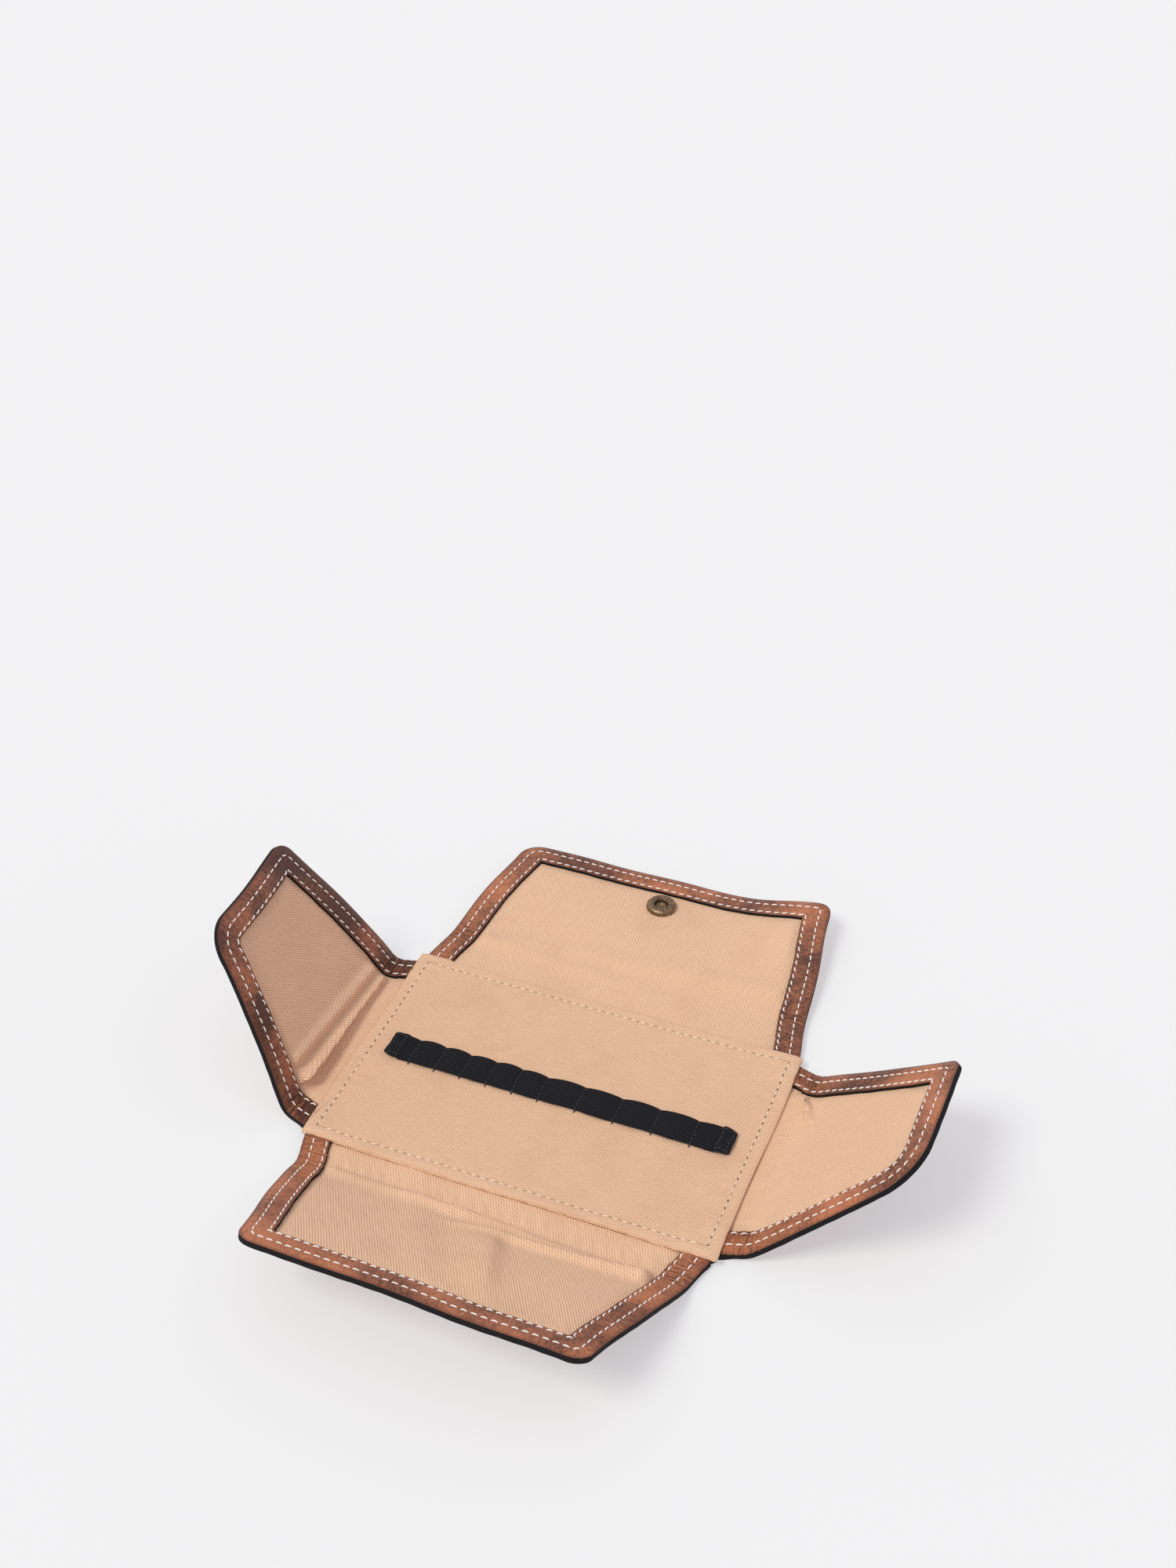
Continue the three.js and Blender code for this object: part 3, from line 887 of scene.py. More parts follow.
def panel_surface(x, y):
    """Height of the top of the centre panel."""
    inset = sizes().seam_inset
    to_edge = np.minimum(HALF_LENGTH - np.abs(x), HALF_DEPTH - np.abs(y))
    seam = -0.28 * MM * bell(to_edge - inset, 0.9 * MM)
    along = np.where(HALF_LENGTH - np.abs(x) < HALF_DEPTH - np.abs(y), y, x)
    pucker = 0.16 * MM * np.sin(along / (1.3 * MM)) * np.sin(along / (4.7 * MM) + 1)
    pucker = pucker * bell(to_edge - inset - 2.2 * MM, 3 * MM)
    slack = 0.25 * MM * np.sin(x / (23 * MM) + 0.5) * np.sin(y / (17 * MM) + 1.1)
    slack = slack + 0.12 * MM * np.sin(x / (7 * MM) - y / (9 * MM))
    roll = -0.35 * MM * smooth((1.6 * MM - to_edge) / (1.6 * MM))
    return PANEL_TOP + 0.7 * MM * over_legs(x, y) + seam + pucker + slack + roll


def rounded_grid(half_x, half_y, radius, step):
    """x and y of a grid that fills a rectangle with rounded corners."""
    turn = radius * np.sin(np.linspace(0, math.pi / 2, 6))
    x = np.r_[spread(0, half_x - radius, step), half_x - radius + turn[1:]]
    x = np.r_[-x[:0:-1], x]
    beyond = np.clip(np.abs(x) - half_x + radius, 0, radius)
    limit = half_y - radius + np.sqrt(radius**2 - beyond**2)
    y = edged(-half_y, half_y, step)[None, :] / half_y * limit[:, None]
    return np.broadcast_to(x[:, None], y.shape).copy(), y


class CASE_OT_base(bpy.types.Operator):
    """Model the outer leather and canvas of the base"""

    bl_idname = "case.base"
    bl_label = "Base Leather"

    def execute(self, context):
        corner, step = 5 * MM, 5 * MM
        x, y = rounded_grid(HALF_LENGTH, HALF_DEPTH, corner, step)
        leather = grid_piece("base_leather", x, y, 0.0, x, y, outer_leather(), edge_paint())
        thicken(leather, SHELL_TOP)
        shade(leather)
        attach(leather, "base")
        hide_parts("base_shell")
        canvas = grid_piece("base_canvas", x, y, LINING_LOW, x, y, flap_canvas(), edge_paint())
        thicken(canvas, LINING_TOP - LINING_LOW)
        shade(canvas)
        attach(canvas, "base")
        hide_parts("base_lining")
        return {"FINISHED"}


class CASE_OT_panel(bpy.types.Operator):
    """Model the hemmed centre panel and its seam"""

    bl_idname = "case.panel"
    bl_label = "Centre Panel"

    def execute(self, context):
        overhang, corner = 0.4 * MM, 1.5 * MM
        x, y = rounded_grid(HALF_LENGTH + overhang, HALF_DEPTH + overhang, corner, STEP)
        edge_x = x + 0.3 * MM * np.sin(y / (14 * MM)) * (np.abs(x) / HALF_LENGTH) ** 6
        edge_y = y + 0.3 * MM * np.sin(x / (21 * MM)) * (np.abs(y) / HALF_DEPTH) ** 6
        low = panel_surface(x, y) - sizes().hem
        along, across = turned(x, y, math.radians(84))
        name = "centre_panel_canvas"
        panel = grid_piece(name, edge_x, edge_y, low, along, across, panel_canvas())
        thicken(panel, sizes().hem)
        round_rim(panel, 0.5 * MM, 3)
        shade(panel, HEM)
        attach(panel, "base")
        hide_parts("centre_panel")
        seam = self.seam()
        return {"FINISHED"}

    def seam(self):
        """Beige stitches all round, each between two needle holes."""
        inset, pitch = sizes().seam_inset, sizes().seam_pitch
        places = []
        for half_a, half_b, quarter in (
            (HALF_LENGTH - inset, HALF_DEPTH - inset, 0),
            (HALF_DEPTH - inset, HALF_LENGTH - inset, 1),
        ):
            for sign in (-1, 1):
                count = int(half_a / pitch)
                for k in range(-count, count):
                    a, b = (k + 0.5) * pitch, sign * half_b
                    x, y = (b, a) if quarter else (a, b)
                    z = float(panel_surface(np.array(x), np.array(y))) + 0.06 * MM
                    turn = Matrix.Rotation(quarter * math.pi / 2 + 0.05 * math.sin(9 * k), 4, "Z")
                    places.append(Matrix.Translation((x, y, z)) @ turn)
        long, wide, high = 0.72 * pitch, 0.72 * MM, 0.7 * MM
        seam = copies("panel_seam", stitch_unit(long, wide, high), places)
        dress(seam, panel_thread())
        shade(seam, THREAD)
        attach(seam, "base")
        return seam


NARROW_LOOPS, WIDE_LOOPS = 6, 5
BAND_THICKNESS = 0.85 * MM


class CASE_OT_elastic(bpy.types.Operator):
    """Model the elastic band with its tacks and folded ends"""

    bl_idname = "case.elastic"
    bl_label = "Elastic Band"

    def execute(self, context):
        pitches = [sizes().narrow_pitch] * NARROW_LOOPS + [sizes().wide_pitch] * WIDE_LOOPS
        ends = np.cumsum([0, *pitches])
        tacks = ends - ends[-1] / 2
        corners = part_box("elastic_band")
        half_band = (corners[1].y - corners[0].y) / 2
        x = spread(tacks[0], tacks[-1], 1.0 * MM)
        y = spread(-half_band, half_band, 0.9 * MM)
        gx, gy = np.meshgrid(x, y, indexing="ij")
        arch, stand_off = self.arches(tacks, gx, gy, half_band)
        waist = 1 - 0.09 * (1 - arch)
        waist = waist - 0.09 * smooth((np.abs(gx) - tacks[-1] + 1.6 * MM) / (1.6 * MM))
        wobble = 0.15 * MM * np.sin(gx / (5 * MM))
        low = panel_surface(gx, gy) + stand_off
        band = grid_piece("elastic_loops", gx, gy * waist + wobble, low, gx, gy, ribbed_elastic())
        thicken(band, BAND_THICKNESS)
        round_rim(band, 0.3 * MM, 2)
        shade(band, HEM)
        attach(band, "base")
        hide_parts("elastic_band")
        stitching = self.tack_stitches(tacks, half_band)
        return {"FINISHED"}

    def arches(self, tacks, x, y, half):
        """The curve of each loop, 0 at its tacks and 1 between, and the band's height off the
        panel."""
        span = np.clip(np.searchsorted(tacks, x, side="right") - 1, 0, len(tacks) - 2)
        share = np.clip((x - tacks[span]) / np.diff(tacks)[span], 0, 1)
        arch = np.sin(np.pi * share) ** 0.6
        sewn_flat = np.where((span == 0) | (span == len(tacks) - 2), 0.5, 1)
        rise = (1.2 + 0.25 * np.sin(7.0 * span)) * arch * sewn_flat
        rise = rise * (1 - 0.35 * (y / half) ** 4)
        folded = 0.9 * smooth((np.abs(x) - tacks[-1] + 7 * MM) / (1 * MM))
        lump = np.sin(y / (1.9 * MM) + x / (3 * MM)) * np.sin(x / (1.3 * MM) + 2)
        return arch, (0.08 + rise + folded * (1 + 0.45 * lump)) * MM

    def tack_stitches(self, tacks, half):
        """Black thread across the band at each tack, boxes at its ends, and short tails."""
        places = []
        pitch = 2.4 * MM

        def lay(x, y, turn, lift=1.0):
            _, stand_off = self.arches(tacks, np.array(x), np.array(y), half)
            z = float(panel_surface(np.array(x), np.array(y)) + stand_off) + lift * MM
            places.append(Matrix.Translation((x, y, z)) @ Matrix.Rotation(turn, 4, "Z"))

        box = [side * (tacks[-1] - gap * MM) for side in (-1, 1) for gap in (1.4, 6.0)]
        for k, x in enumerate([*tacks[1:-1], *box]):
            for y in np.arange(-half + 1.4 * MM, half, pitch):
                lay(x + 0.2 * MM * math.sin(k + y / pitch), y, math.pi / 2 + 0.12)
            if x not in box:
                lay(x + 0.1 * MM, -half + 0.1 * MM, math.radians(90 + 12 * math.sin(5 * k)), 0.35)
        for side in (-1, 1):
            for y in (-half + 1.6 * MM, half - 1.6 * MM):
                for gap in (2.6, 4.8):
                    lay(side * (tacks[-1] - gap * MM), y, 0.1)
        long, wide, high = 1.9 * MM, 0.55 * MM, 0.5 * MM
        stitching = copies("elastic_tacks", stitch_unit(long, wide, high), places)
        dress(stitching, black_thread())
        shade(stitching, THREAD)
        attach(stitching, "base")
        return stitching


# ---------------------------------------------------------------- walls and flaps


def wall_grid(flap, margin):
    """t and s of a grid over a flap's wall, from the edge of the base to the wall's middle."""
    s = spread(0, flap.wall / 2, STEP)
    share = edged(-flap.half, flap.half, STEP) / flap.half
    t = share[:, None] * (half_width(flap, s)[None, :] - margin)
    return t, np.broadcast_to(s[None, :], t.shape).copy()


def skive(piece, flap):
    """Thins the leather from below along its outer edge, and stores how near that edge each
    point is, for the material to paint: 3 on the edge and 1 less for each millimetre in."""
    points = read_points(piece)
    t, s = points[:, 0], points[:, 1]
    edge = 1 - smooth(edge_distance(flap, t, s) / (4 * MM))
    uneven = 1 + 0.06 * np.sin(t / (1.9 * MM)) * np.sin(s / (1.6 * MM))
    below = points[:, 2] < 0.5 * SHELL_TOP
    points[:, 2] += 0.7 * SHELL_TOP * uneven * edge * smooth(s / (7 * MM)) * below
    write_points(piece, points)
    store(piece, "by_edge", (3 - edge_distance(flap, t, s) / MM) * (s > 0.5 * MM))


def inside_border(flap, t, s):
    """Distance in from the inner edge of a flap's border, negative under the border."""
    return edge_distance(flap, t, s) - sizes().border_width


def fullness(flap, t, s):
    """How far the canvas of each flap stands off the leather under it: in a ridge along the
    crease, a second, lower one beyond it, and what each flap has besides."""
    free = smooth(inside_border(flap, t, s) / (5 * MM))
    crease = s - flap.wall
    if flap.name == "left":
        crest = crease - 2.4 * MM + 0.05 * t
        ridge = 6.0 * MM * lopsided(crest, 1.0 * MM, 2.9 * MM)
        ridge = ridge * (0.6 + 0.4 * smooth((30 * MM - t) / (60 * MM)))
        second = 2.3 * MM * bell(crease - 11 * MM + 0.08 * t, 3.0 * MM)
        slack = 0.8 * MM * np.sin(s / (13 * MM) + t / (40 * MM)) * smooth(crease / (20 * MM))
        gathers = 0.5 * MM * np.sin(t / (0.9 * MM)) * bell(t + 41 * MM, 5 * MM)
        gathers = gathers * bell(crease - 1 * MM, 6 * MM)
        return free * (ridge + second + slack + gathers + 0.5 * MM)
    if flap.name == "front":
        ridge = 3.5 * MM * lopsided(crease - 1.5 * MM + 0.03 * t, 1.9 * MM, 3.9 * MM)
        ridge = ridge * (0.7 + 0.3 * np.sin(t / (16 * MM) + 1))
        second = 2.8 * MM * bell(crease - 11 * MM - 0.06 * t, 2.7 * MM)
        second = second * smooth((30 * MM - t) / (50 * MM))
        ripple = 0.25 * MM * np.sin(t / (1.1 * MM) + s / (3 * MM)) * bell(crease + 6 * MM, 4 * MM)
        tent = 3.0 * MM * lopsided(t + 6 * MM + 0.29 * (s - 20 * MM), 5 * MM, 12 * MM)
        tent = tent * smooth(crease / (25 * MM)) * smooth((84 * MM - s) / (26 * MM))
        tent = tent + 0.7 * MM * bell(t - 40 * MM + 0.5 * s, 8 * MM)
        return free * (ridge + second + ripple + tent + 0.4 * MM)
    if flap.name == "right":
        off_line = (s - 6.6 * MM) - 0.44 * (t + 42 * MM) + 0.5 * MM * np.sin(t / (1.6 * MM))
        pucker = 4.2 * MM * bell(off_line, 1.2 * MM) * bell(t + 33 * MM, 9 * MM)
        ridge = 1.1 * MM * bell(crease - 2 * MM, 4 * MM) * (0.6 + 0.4 * np.sin(t / (11 * MM)))
        slack = 0.6 * MM * np.sin(t / (14 * MM)) * np.sin(s / (19 * MM))
        return free * (ridge + slack + 0.5 * MM) + smooth(free * 3) * pucker
    ridge = 1.0 * MM * bell(crease + 4 * MM + 0.06 * t, 4 * MM) * smooth((30 * MM - t) / (60 * MM))
    second = 0.9 * MM * bell(crease - 9 * MM - 0.09 * t, 5 * MM)
    slack = 0.7 * MM * np.sin(t / (21 * MM) + 1) * np.sin(s / (17 * MM))
    return free * (ridge + second + slack + 0.5 * MM)


def crushed(flap, s):
    """1 in the folds of a flap's leather, 0 away from them."""
    return np.clip(bell(s - flap.wall, 0.8 * flap.bend) + 0.8 * bell(s, 6 * MM), 0, 1)


def border_profile():
    """Distances across the border strip, close together near its edges."""
    across = np.array([0, 0.5, 1.4, 3.0, 4.6, 6.35, 8.1, 9.7, 11.3, 12.2, 12.7])
    return across / across[-1] * sizes().border_width


def crinkle(flap, t, s, across):
    """Small folds across the border where it bends, its rolled edges, and the hollow along each
    row of stitches."""
    fold = np.sin(s / (0.34 * MM) + 1.5 * np.sin(t / (3 * MM)))
    fold = fold * np.sin(s / (1.1 * MM) + t / (5 * MM)) * crushed(flap, s)
    from_inner = sizes().border_width - across
    rolled = -0.75 * MM * (1 - smooth(across / (3.0 * MM)))
    rolled = rolled - 0.25 * MM * (1 - smooth(from_inner / (1.4 * MM)))
    rows = bell(across - sizes().outer_row, 0.9 * MM) + bell(across - sizes().inner_row, 0.8 * MM)
    return 0.22 * MM * fold + rolled - 0.14 * MM * rows + 0.2 * MM


LEG_START = -4 * MM  # where a border leg begins, under the centre panel


def border_strip(name, flap, t, s, along, across):
    """A strip of border leather, laid out flat: its long edges rounded, its top crowned and
    crinkled, and its outer lip let down to the leather under it."""
    piece = grid_piece(name, t, s, BORDER_LOW, along, across, border_leather(), edge_paint())
    thicken(piece, BORDER_TOP - BORDER_LOW)

    def long_edge(points):
        cut = [np.abs(points[:, 1] - end) < HAIR for end in (flap.wall / 2, LEG_START)]
        return ~np.any(cut, axis=0) & (points[:, 2] > (BORDER_LOW + BORDER_TOP) / 2)

    round_rim(piece, 0.28 * MM, 2, long_edge)
    points = read_points(piece)
    t, s, height = points.T
    top = smooth((height - BORDER_LOW) / (0.8 * (BORDER_TOP - BORDER_LOW)))
    across = np.clip(edge_distance(flap, t, s), 0, sizes().border_width)
    points[:, 2] += top * crinkle(flap, t, s, across)
    lip = (top < 0.01) & (across < 0.7 * MM)
    points[lip, 2] = SHELL_TOP - 0.03 * MM
    write_points(piece, points)
    store(piece, "crush", crushed(flap, s))
    # waxed: this border's darkening, partly its own tone and partly painted shade
    store(piece, "waxed", np.full(len(s), TONE_AND_PAINTED_SHADE[flap.name]))
    return piece


def leather_sheet(name, flap, t, s):
    """Outer leather over the grid of t and s, skived at its edge and bent to rest."""
    piece = grid_piece(name, t, s, 0.0, t, s, outer_leather(), edge_paint())
    thicken(piece, SHELL_TOP)
    skive(piece, flap)
    settle(piece, flap)
    shade(piece)
    return piece


def canvas_sheet(name, flap, t, s):
    """Canvas lining over the grid of t and s, with its folds and puckers, bent to rest."""
    along, across = turned(t, s, flap.grain)
    low = LINING_LOW + fullness(flap, t, s)
    piece = grid_piece(name, t, s, low, along, across, flap_canvas(), edge_paint())
    thicken(piece, LINING_TOP - LINING_LOW)
    settle(piece, flap)
    shade(piece)
    return piece


class CASE_OT_walls(bpy.types.Operator):
    """Model the leather, canvas and border legs that lift at the edges of the base"""

    bl_idname = "case.walls"
    bl_label = "Walls"

    def execute(self, context):
        for flap in FLAPS.values():
            self.leather(flap)
            self.canvas(flap)
            self.straps(flap)
        return {"FINISHED"}

    def leather(self, flap):
        piece = leather_sheet(f"{flap.name}_wall_leather", flap, *wall_grid(flap, 0))
        hang_wall(piece, flap)
        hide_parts(f"{flap.name}_wall_shell")

    def canvas(self, flap):
        name = f"{flap.name}_wall_canvas"
        piece = canvas_sheet(name, flap, *wall_grid(flap, CANVAS_MARGIN))
        hang_wall(piece, flap)
        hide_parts(f"{flap.name}_wall_lining")
        flat = (2 * half_width(flap, 0), flap.wall / 2)

    def straps(self, flap):
        """The two legs of the border, each from under the centre panel to the middle of the
        wall."""
        across = border_profile()[None, :]
        line = spread(LEG_START, flap.wall / 2, 0.4 * MM)[:, None]
        legs = []
        for sign, order in ((1, slice(None)), (-1, slice(None, None, -1))):
            t = (sign * (half_width(flap, line) - across))[:, order]
            s = np.broadcast_to(line, t.shape)
            v = np.broadcast_to(across, t.shape)[:, order]
            legs.append(border_strip("leg", flap, t, s, s, v))
        piece = join(f"{flap.name}_wall_straps", legs)
        settle(piece, flap)
        shade(piece)
        hang_wall(piece, flap)
        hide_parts(f"{flap.name}_wall_strap_a", f"{flap.name}_wall_strap_b")


class CASE_OT_flap_leather(bpy.types.Operator):
    """Model the outer leather of the four flaps"""

    bl_idname = "case.flap_leather"
    bl_label = "Flap Leather"

    def execute(self, context):
        for flap in FLAPS.values():
            t, s = sheet_grid(flap, flap.wall / 2, 0, 2 * MM)
            piece = leather_sheet(f"{flap.name}_flap_leather", flap, t, s)
            hang_flap(piece, flap)
            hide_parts(f"{flap.name}_flap_shell")
        return {"FINISHED"}


class CASE_OT_flap_canvas(bpy.types.Operator):
    """Model the canvas lining of the four flaps, with its folds and puckers"""

    bl_idname = "case.flap_canvas"
    bl_label = "Flap Canvas"

    def execute(self, context):
        for flap in FLAPS.values():
            t, s = sheet_grid(flap, flap.wall / 2, CANVAS_MARGIN, 1.2 * MM)
            piece = canvas_sheet(f"{flap.name}_flap_canvas", flap, t, s)
            hang_flap(piece, flap)
            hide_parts(f"{flap.name}_flap_lining")
            span = flap.reach - flap.wall / 2
            flat = (2 * half_width(flap, 0), span)
            area = span * (half_width(flap, flap.wall / 2) + flap.tip)
        return {"FINISHED"}


class CASE_OT_flap_borders(bpy.types.Operator):
    """Model the leather border of the four flaps"""

    bl_idname = "case.flap_borders"
    bl_label = "Flap Borders"

    def execute(self, context):
        for flap in FLAPS.values():
            name = f"{flap.name}_flap_border_leather"
            piece = border_strip(name, flap, *self.grid(flap))
            settle(piece, flap)
            shade(piece)
            hang_flap(piece, flap)
            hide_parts(f"{flap.name}_flap_border")
        return {"FINISHED"}

    def grid(self, flap):
        """t, s and the pattern coordinates of a strip that follows the flap's outline. Its
        inner edge is cut a little unevenly."""
        start = flap.wall / 2
        across = border_profile()
        lines = np.array([edge_line(flap, inset, start, 0.8 * MM) for inset in across])
        t, s = lines[:, 0].T, lines[:, 1].T
        row = np.arange(len(t))[:, None]
        wobble = 0.35 * np.sin(row / 7.3) * np.sin(row / 17) + 0.2 * np.sin(row / 3.1 + 1)
        wobble = wobble * MM * smooth((across - 9.5 * MM) / (3 * MM)) / (1.5 * MM)
        t = t + wobble * (t[:, -1:] - t[:, -2:-1])
        s = s + wobble * (s[:, -1:] - s[:, -2:-1])
        middle = len(across) // 2
        steps = np.hypot(np.diff(t[:, middle]), np.diff(s[:, middle]))
        along = np.broadcast_to(np.r_[0, np.cumsum(steps)][:, None] + start, t.shape)
        return t, s, along, np.broadcast_to(across[None, :], t.shape)


class CASE_OT_border_stitching(bpy.types.Operator):
    """Sew the two rows of stitches round each border"""

    bl_idname = "case.border_stitching"
    bl_label = "Border Stitching"

    def execute(self, context):
        for flap in FLAPS.values():
            for part, hang in (("wall", hang_wall), ("flap", hang_flap)):
                rows = []
                for inset, slant, bow in (
                    (sizes().outer_row, 3, 0.05),
                    (sizes().inner_row, 11, 0.55),
                ):
                    stitches = self.row(flap, inset, slant)
                    on_wall = part == "wall"
                    places = [place for place, s in stitches if (s < flap.wall / 2) == on_wall]
                    rows.append(self.sew(places, bow))
                piece = join(f"{flap.name}_{part}_stitching", rows)
                settle(piece, flap)
                shade(piece, THREAD)
                hang(piece, flap)
        return {"FINISHED"}

    def row(self, flap, inset, slant):
        """Where each stitch of one row goes, and how far from the base it is."""
        pitch = sizes().stitch_pitch
        t, s = edge_line(flap, inset, 0.6 * MM, 1.0 * MM)
        run = np.r_[0, np.cumsum(np.hypot(np.diff(t), np.diff(s)))]
        count = int(run[-1] / pitch)

        def point(at):
            return np.interp(at, run, t), np.interp(at, run, s)

        for k in range(count):
            at = (k + 0.5) * run[-1] / count
            here, ahead, back = point(at), point(at + MM), point(at - MM)
            angle = math.atan2(ahead[1] - back[1], ahead[0] - back[0]) + math.radians(slant)
            turn = Matrix.Rotation(angle + 0.04 * math.sin(3.7 * k), 4, "Z")
            yield Matrix.Translation((*here, BORDER_TOP + 0.26 * MM)) @ turn, here[1]

    def sew(self, places, bow):
        """One row's stitches as one mesh. bow: how far each is pulled towards the tip's side."""
        unit = stitch_unit(sizes().stitch_length, sizes().thread_width, 0.6 * MM)
        points = read_points(unit)
        reach = 2 * points[:, 0] / sizes().stitch_length
        points[:, 1] += bow * MM * (1 - reach**2)
        write_points(unit, points)
        row = copies("row", unit, places)
        dress(row, border_thread())
        return row


# ---------------------------------------------------------------- snap


ROUND = 72  # steps round a turned piece


def turned_piece(name, profile, seat):
    """Brass turned to a profile of (radius, height) points in millimetres, on the seat's axis."""
    points = [(r * MM, 0, z * MM) for r, z in profile]
    edges = [(k, (k + 1) % len(points)) for k in range(len(points))]
    piece = new_piece(name, points, edges, [])
    pick(piece)
    bpy.ops.object.mode_set(mode="EDIT")
    bpy.ops.mesh.select_all(action="SELECT")
    bpy.ops.mesh.spin(steps=ROUND, angle=2 * math.pi, center=(0, 0, 0), axis=(0, 0, 1))
    bpy.ops.mesh.select_all(action="SELECT")
    bpy.ops.mesh.remove_doubles(threshold=1e-6)
    bpy.ops.mesh.delete_loose()
    bpy.ops.mesh.select_all(action="SELECT")
    bpy.ops.mesh.normals_make_consistent(inside=False)
    bpy.ops.object.mode_set(mode="OBJECT")
    piece.data.transform(seat)
    dress(piece, antique_brass())
    shade(piece, TURNED)
    return piece


def seat_on(flap, node, height):
    """A frame on the flap at a CAD fitting, Z up out of the surface, heights as the layers.
    height: that of the fitting's middle."""
    low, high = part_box(node)
    centre = (low + high) / 2
    outward = Vector((-math.sin(flap.turn), math.cos(flap.turn), 0))
    s = (centre - flap.edge).dot(outward)
    for _ in range(4):
        here = on_flap(flap, 0, s, height)
        s += (centre - here).dot(outward)
    base = on_flap(flap, 0, s, 0)
    up = (on_flap(flap, 0, s, 1 * MM) - base).normalized()
    side = Vector((math.cos(flap.turn), math.sin(flap.turn), 0))
    forward = up.cross(side).normalized()
    matrix = Matrix((side, forward, up)).transposed().to_4x4()
    matrix.translation = base
    return matrix


class CASE_OT_snap(bpy.types.Operator):
    """Model the ring socket, its spring and cap, and the stud"""

    bl_idname = "case.snap"
    bl_label = "Snap"

    def execute(self, context):
        self.socket()
        self.stud()
        return {"FINISHED"}

    def socket(self):
        flap = FLAPS["rear"]
        seat = seat_on(flap, "snap_socket", CREASE)
        floor = (LINING_TOP + 0.35 * MM) / MM
        top = floor + 2.6
        ring = turned_piece("snap_socket_ring", [
            (2.3, floor), (6.6, floor - 0.1), (7.2, floor + 0.1), (7.35, floor + 0.5),
            (7.2, floor + 1.2), (6.9, top - 0.7), (6.6, top - 0.35), (6.2, top - 0.12),
            (5.7, top), (5.0, top + 0.02), (4.4, top - 0.04), (4.05, top - 0.2),
            (3.9, top - 0.22), (3.75, top - 0.15), (3.6, top - 0.3), (3.6, top - 0.6),
            (4.2, top - 0.7), (4.2, floor + 0.5), (2.3, floor + 0.5),
        ], seat)
        spring = self.spring(seat, top - 1.15)
        post = turned_piece("snap_post", [
            (0, -1.1), (3.0, -1.1), (3.1, -0.9), (3.0, -0.65), (1.9, -0.6),
            (1.9, floor + 0.75), (2.6, floor + 0.75), (2.8, floor + 0.9), (2.5, floor + 1.1),
            (1.5, floor + 1.0), (1.2, floor + 0.6), (0, floor + 0.6),
        ], seat)
        cap = turned_piece("snap_dome_cap", [
            (0, -1.4), (0, -2.7), (1.6, -2.67), (3.2, -2.55), (4.8, -2.3), (6.1, -1.9),
            (7.0, -1.35), (7.4, -0.8), (7.5, -0.45), (7.35, -0.3), (6.8, -0.25), (3.5, -0.3),
            (3.5, -1.4),
        ], seat)
        for piece, node in (
            (ring, "snap_socket"),
            (spring, "snap_spring"),
            (post, "snap_cap_post"),
            (cap, "snap_cap"),
        ):
            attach(piece, "rear_flap")
            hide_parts(node)

    def spring(self, seat, height):
        """The split ring of wire that grips the stud."""
        bpy.ops.object.select_all(action="DESELECT")
        bpy.ops.mesh.primitive_torus_add(
            major_segments=ROUND, minor_segments=10, major_radius=3.75 * MM, minor_radius=0.32 * MM
        )
        spring = bpy.context.object
        spring.name = spring.data.name = "snap_ring_spring"
        bpy.ops.object.mode_set(mode="EDIT")
        bpy.ops.mesh.select_all(action="SELECT")
        bpy.ops.mesh.bisect(
            plane_co=(0, 0.5 * MM, 0), plane_no=(-0.12, 1, 0), use_fill=True, clear_outer=False
        )
        bpy.ops.object.mode_set(mode="OBJECT")
        spring.data.transform(seat @ Matrix.Translation((0, 0, height * MM)))
        dress(spring, antique_brass())
        shade(spring, WIRE)
        return spring

    def stud(self):
        flap = FLAPS["front"]
        seat = seat_on(flap, "snap_stud", -1.35 * MM)
        stud = turned_piece("snap_stud_post", [
            (1.6, -0.28), (1.6, -1.9), (0, -1.9), (0, -2.4), (2.2, -2.4), (2.7, -2.25),
            (2.95, -1.9), (2.9, -1.55), (2.5, -1.2), (2.45, -0.8), (2.9, -0.66), (5.2, -0.6),
            (5.5, -0.45), (5.4, -0.28),
        ], seat)
        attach(stud, "front_flap")
        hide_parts("snap_stud")
        dress(frame["nodes"]["snap_stud_rivet"], antique_brass())


# ---------------------------------------------------------------- stage


FLOOR_SIZE = 30
BACKDROP = (0.665, 0.648, 0.703, 1)
KEY_LIGHT = {"energy": 1.9, "angle": math.radians(22), "color": (0.96, 1.0, 0.88)}
KEY_SHINES = Vector((0.40, 0.60, -1.0))
CAMERA = {"lens": 45, "sensor_width": 36}
CAMERA_AT = (0.2389, -0.5607, 0.6405)
CAMERA_TURN = (math.radians(52.77), 0, math.radians(21.79))


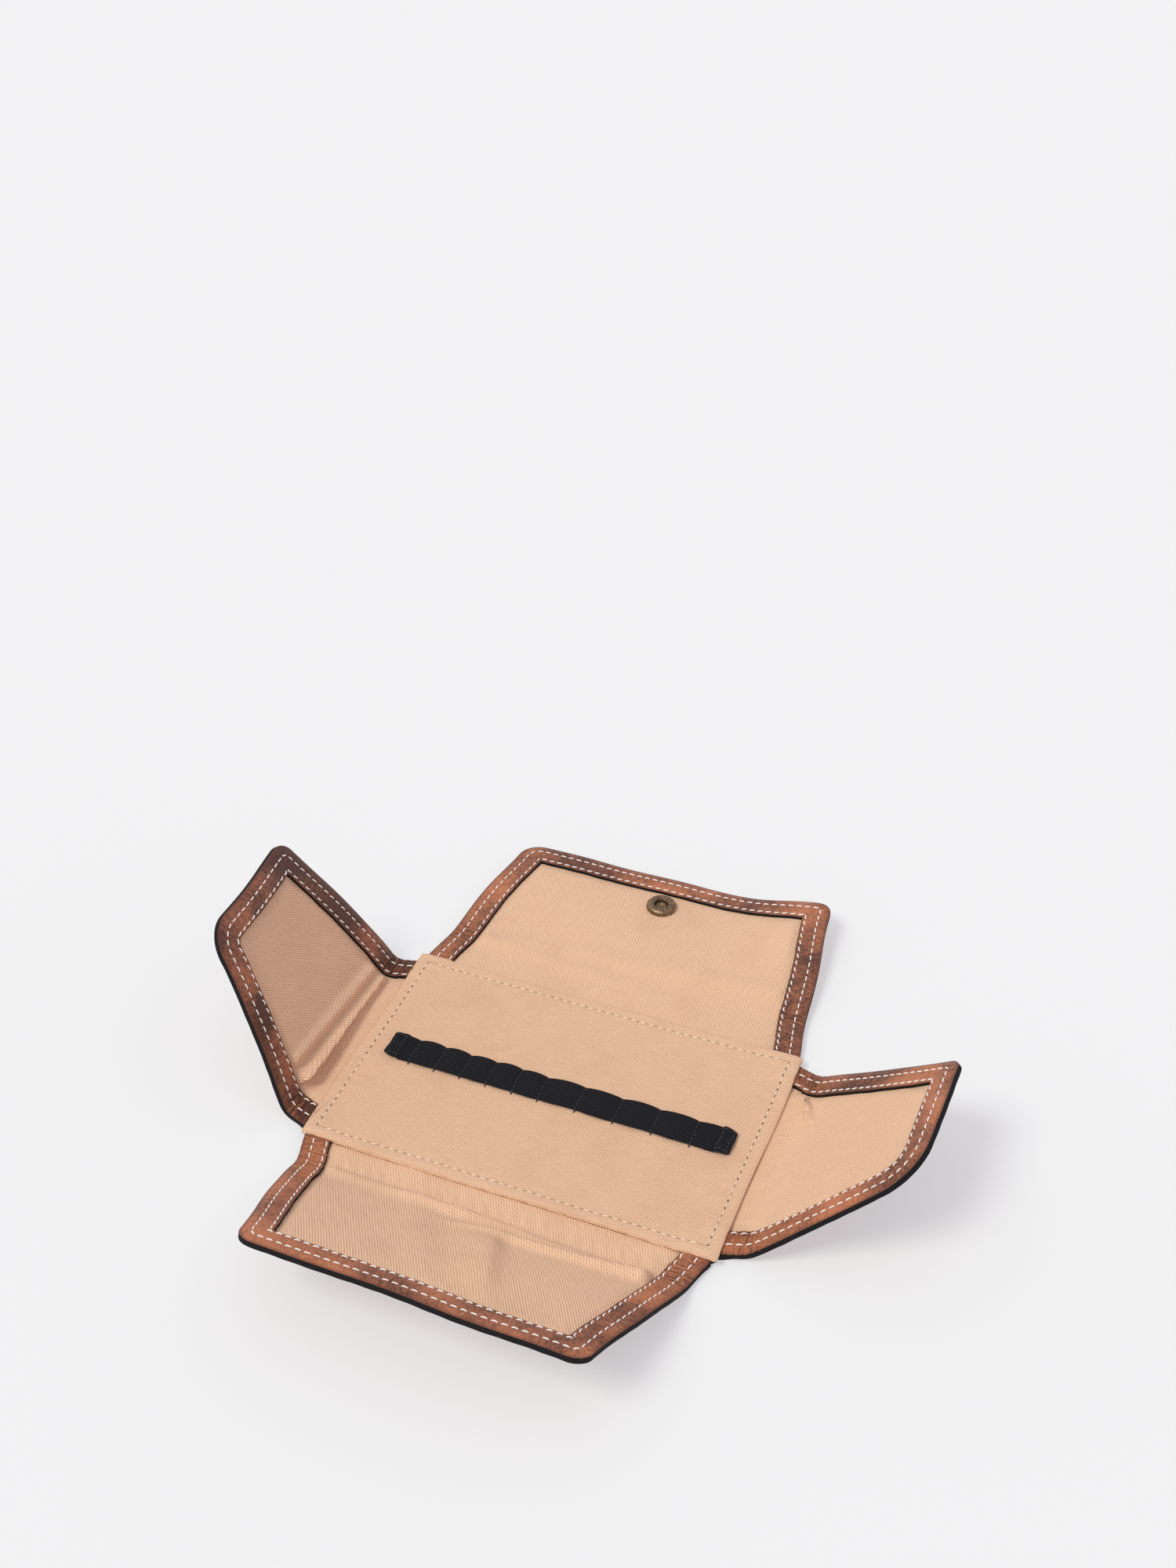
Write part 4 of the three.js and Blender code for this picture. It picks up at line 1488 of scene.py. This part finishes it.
class CASE_OT_stage(bpy.types.Operator):
    """Set up the floor, light and camera"""

    bl_idname = "case.stage"
    bl_label = "Stage"

    def execute(self, context):
        self.floor()
        self.lights(context.scene)
        self.camera(context.scene)
        return {"FINISHED"}

    def floor(self):
        bpy.ops.object.select_all(action="DESELECT")
        bpy.ops.mesh.primitive_plane_add(size=FLOOR_SIZE)
        floor = bpy.context.object
        floor.name = "studio_floor"
        floor.location.z = -0.05 * MM
        dress(floor, studio_floor())

    def lights(self, scene):
        """An even backdrop, and a broad soft key light from the front left."""
        scene.world = bpy.data.worlds.new("studio")
        scene.world.use_nodes = True
        background = scene.world.node_tree.nodes["Background"]
        background.inputs["Color"].default_value = BACKDROP
        sun = bpy.data.objects.new("key_light", bpy.data.lights.new("key_light", "SUN"))
        for key, value in KEY_LIGHT.items():
            setattr(sun.data, key, value)
        sun.rotation_euler = KEY_SHINES.to_track_quat("-Z", "Y").to_euler()
        scene.collection.objects.link(sun)

    def camera(self, scene):
        camera = bpy.data.objects.new("camera", bpy.data.cameras.new("camera"))
        for key, value in CAMERA.items():
            setattr(camera.data, key, value)
        camera.location = CAMERA_AT
        camera.rotation_euler = CAMERA_TURN
        scene.collection.objects.link(camera)
        scene.camera = camera
        scene.view_settings.view_transform = "Standard"


OPERATORS = (
    CASE_OT_stage,
    CASE_OT_base,
    CASE_OT_panel,
    CASE_OT_elastic,
    CASE_OT_walls,
    CASE_OT_flap_leather,
    CASE_OT_flap_canvas,
    CASE_OT_flap_borders,
    CASE_OT_border_stitching,
    CASE_OT_snap,
)


class CASE_PT_sidebar(bpy.types.Panel):
    """Lists the steps of the case in the order they are run"""

    bl_idname = "CASE_PT_sidebar"
    bl_label = "Pencil Case"
    bl_space_type = "VIEW_3D"
    bl_region_type = "UI"
    bl_category = "Pencil Case"

    def draw(self, context):
        for operator in OPERATORS:
            self.layout.operator(operator.bl_idname)
        for group in (context.scene.case_sizes, context.scene.case_colours):
            for name in group.__annotations__:
                self.layout.prop(group, name)


CLASSES = (CaseSizes, CaseColours, *OPERATORS, CASE_PT_sidebar)


def register():
    for cls in CLASSES:
        bpy.utils.register_class(cls)
    bpy.types.Scene.case_sizes = bpy.props.PointerProperty(type=CaseSizes)
    bpy.types.Scene.case_colours = bpy.props.PointerProperty(type=CaseColours)


def unregister():
    del bpy.types.Scene.case_colours
    del bpy.types.Scene.case_sizes
    for cls in reversed(CLASSES):
        bpy.utils.unregister_class(cls)


def main():
    register()
    for operator in OPERATORS:
        group, name = operator.bl_idname.split(".")
        getattr(getattr(bpy.ops, group), name)()
    for cage in CAGES.values():
        bpy.data.objects.remove(cage)


if __name__ == "__main__":
    main()
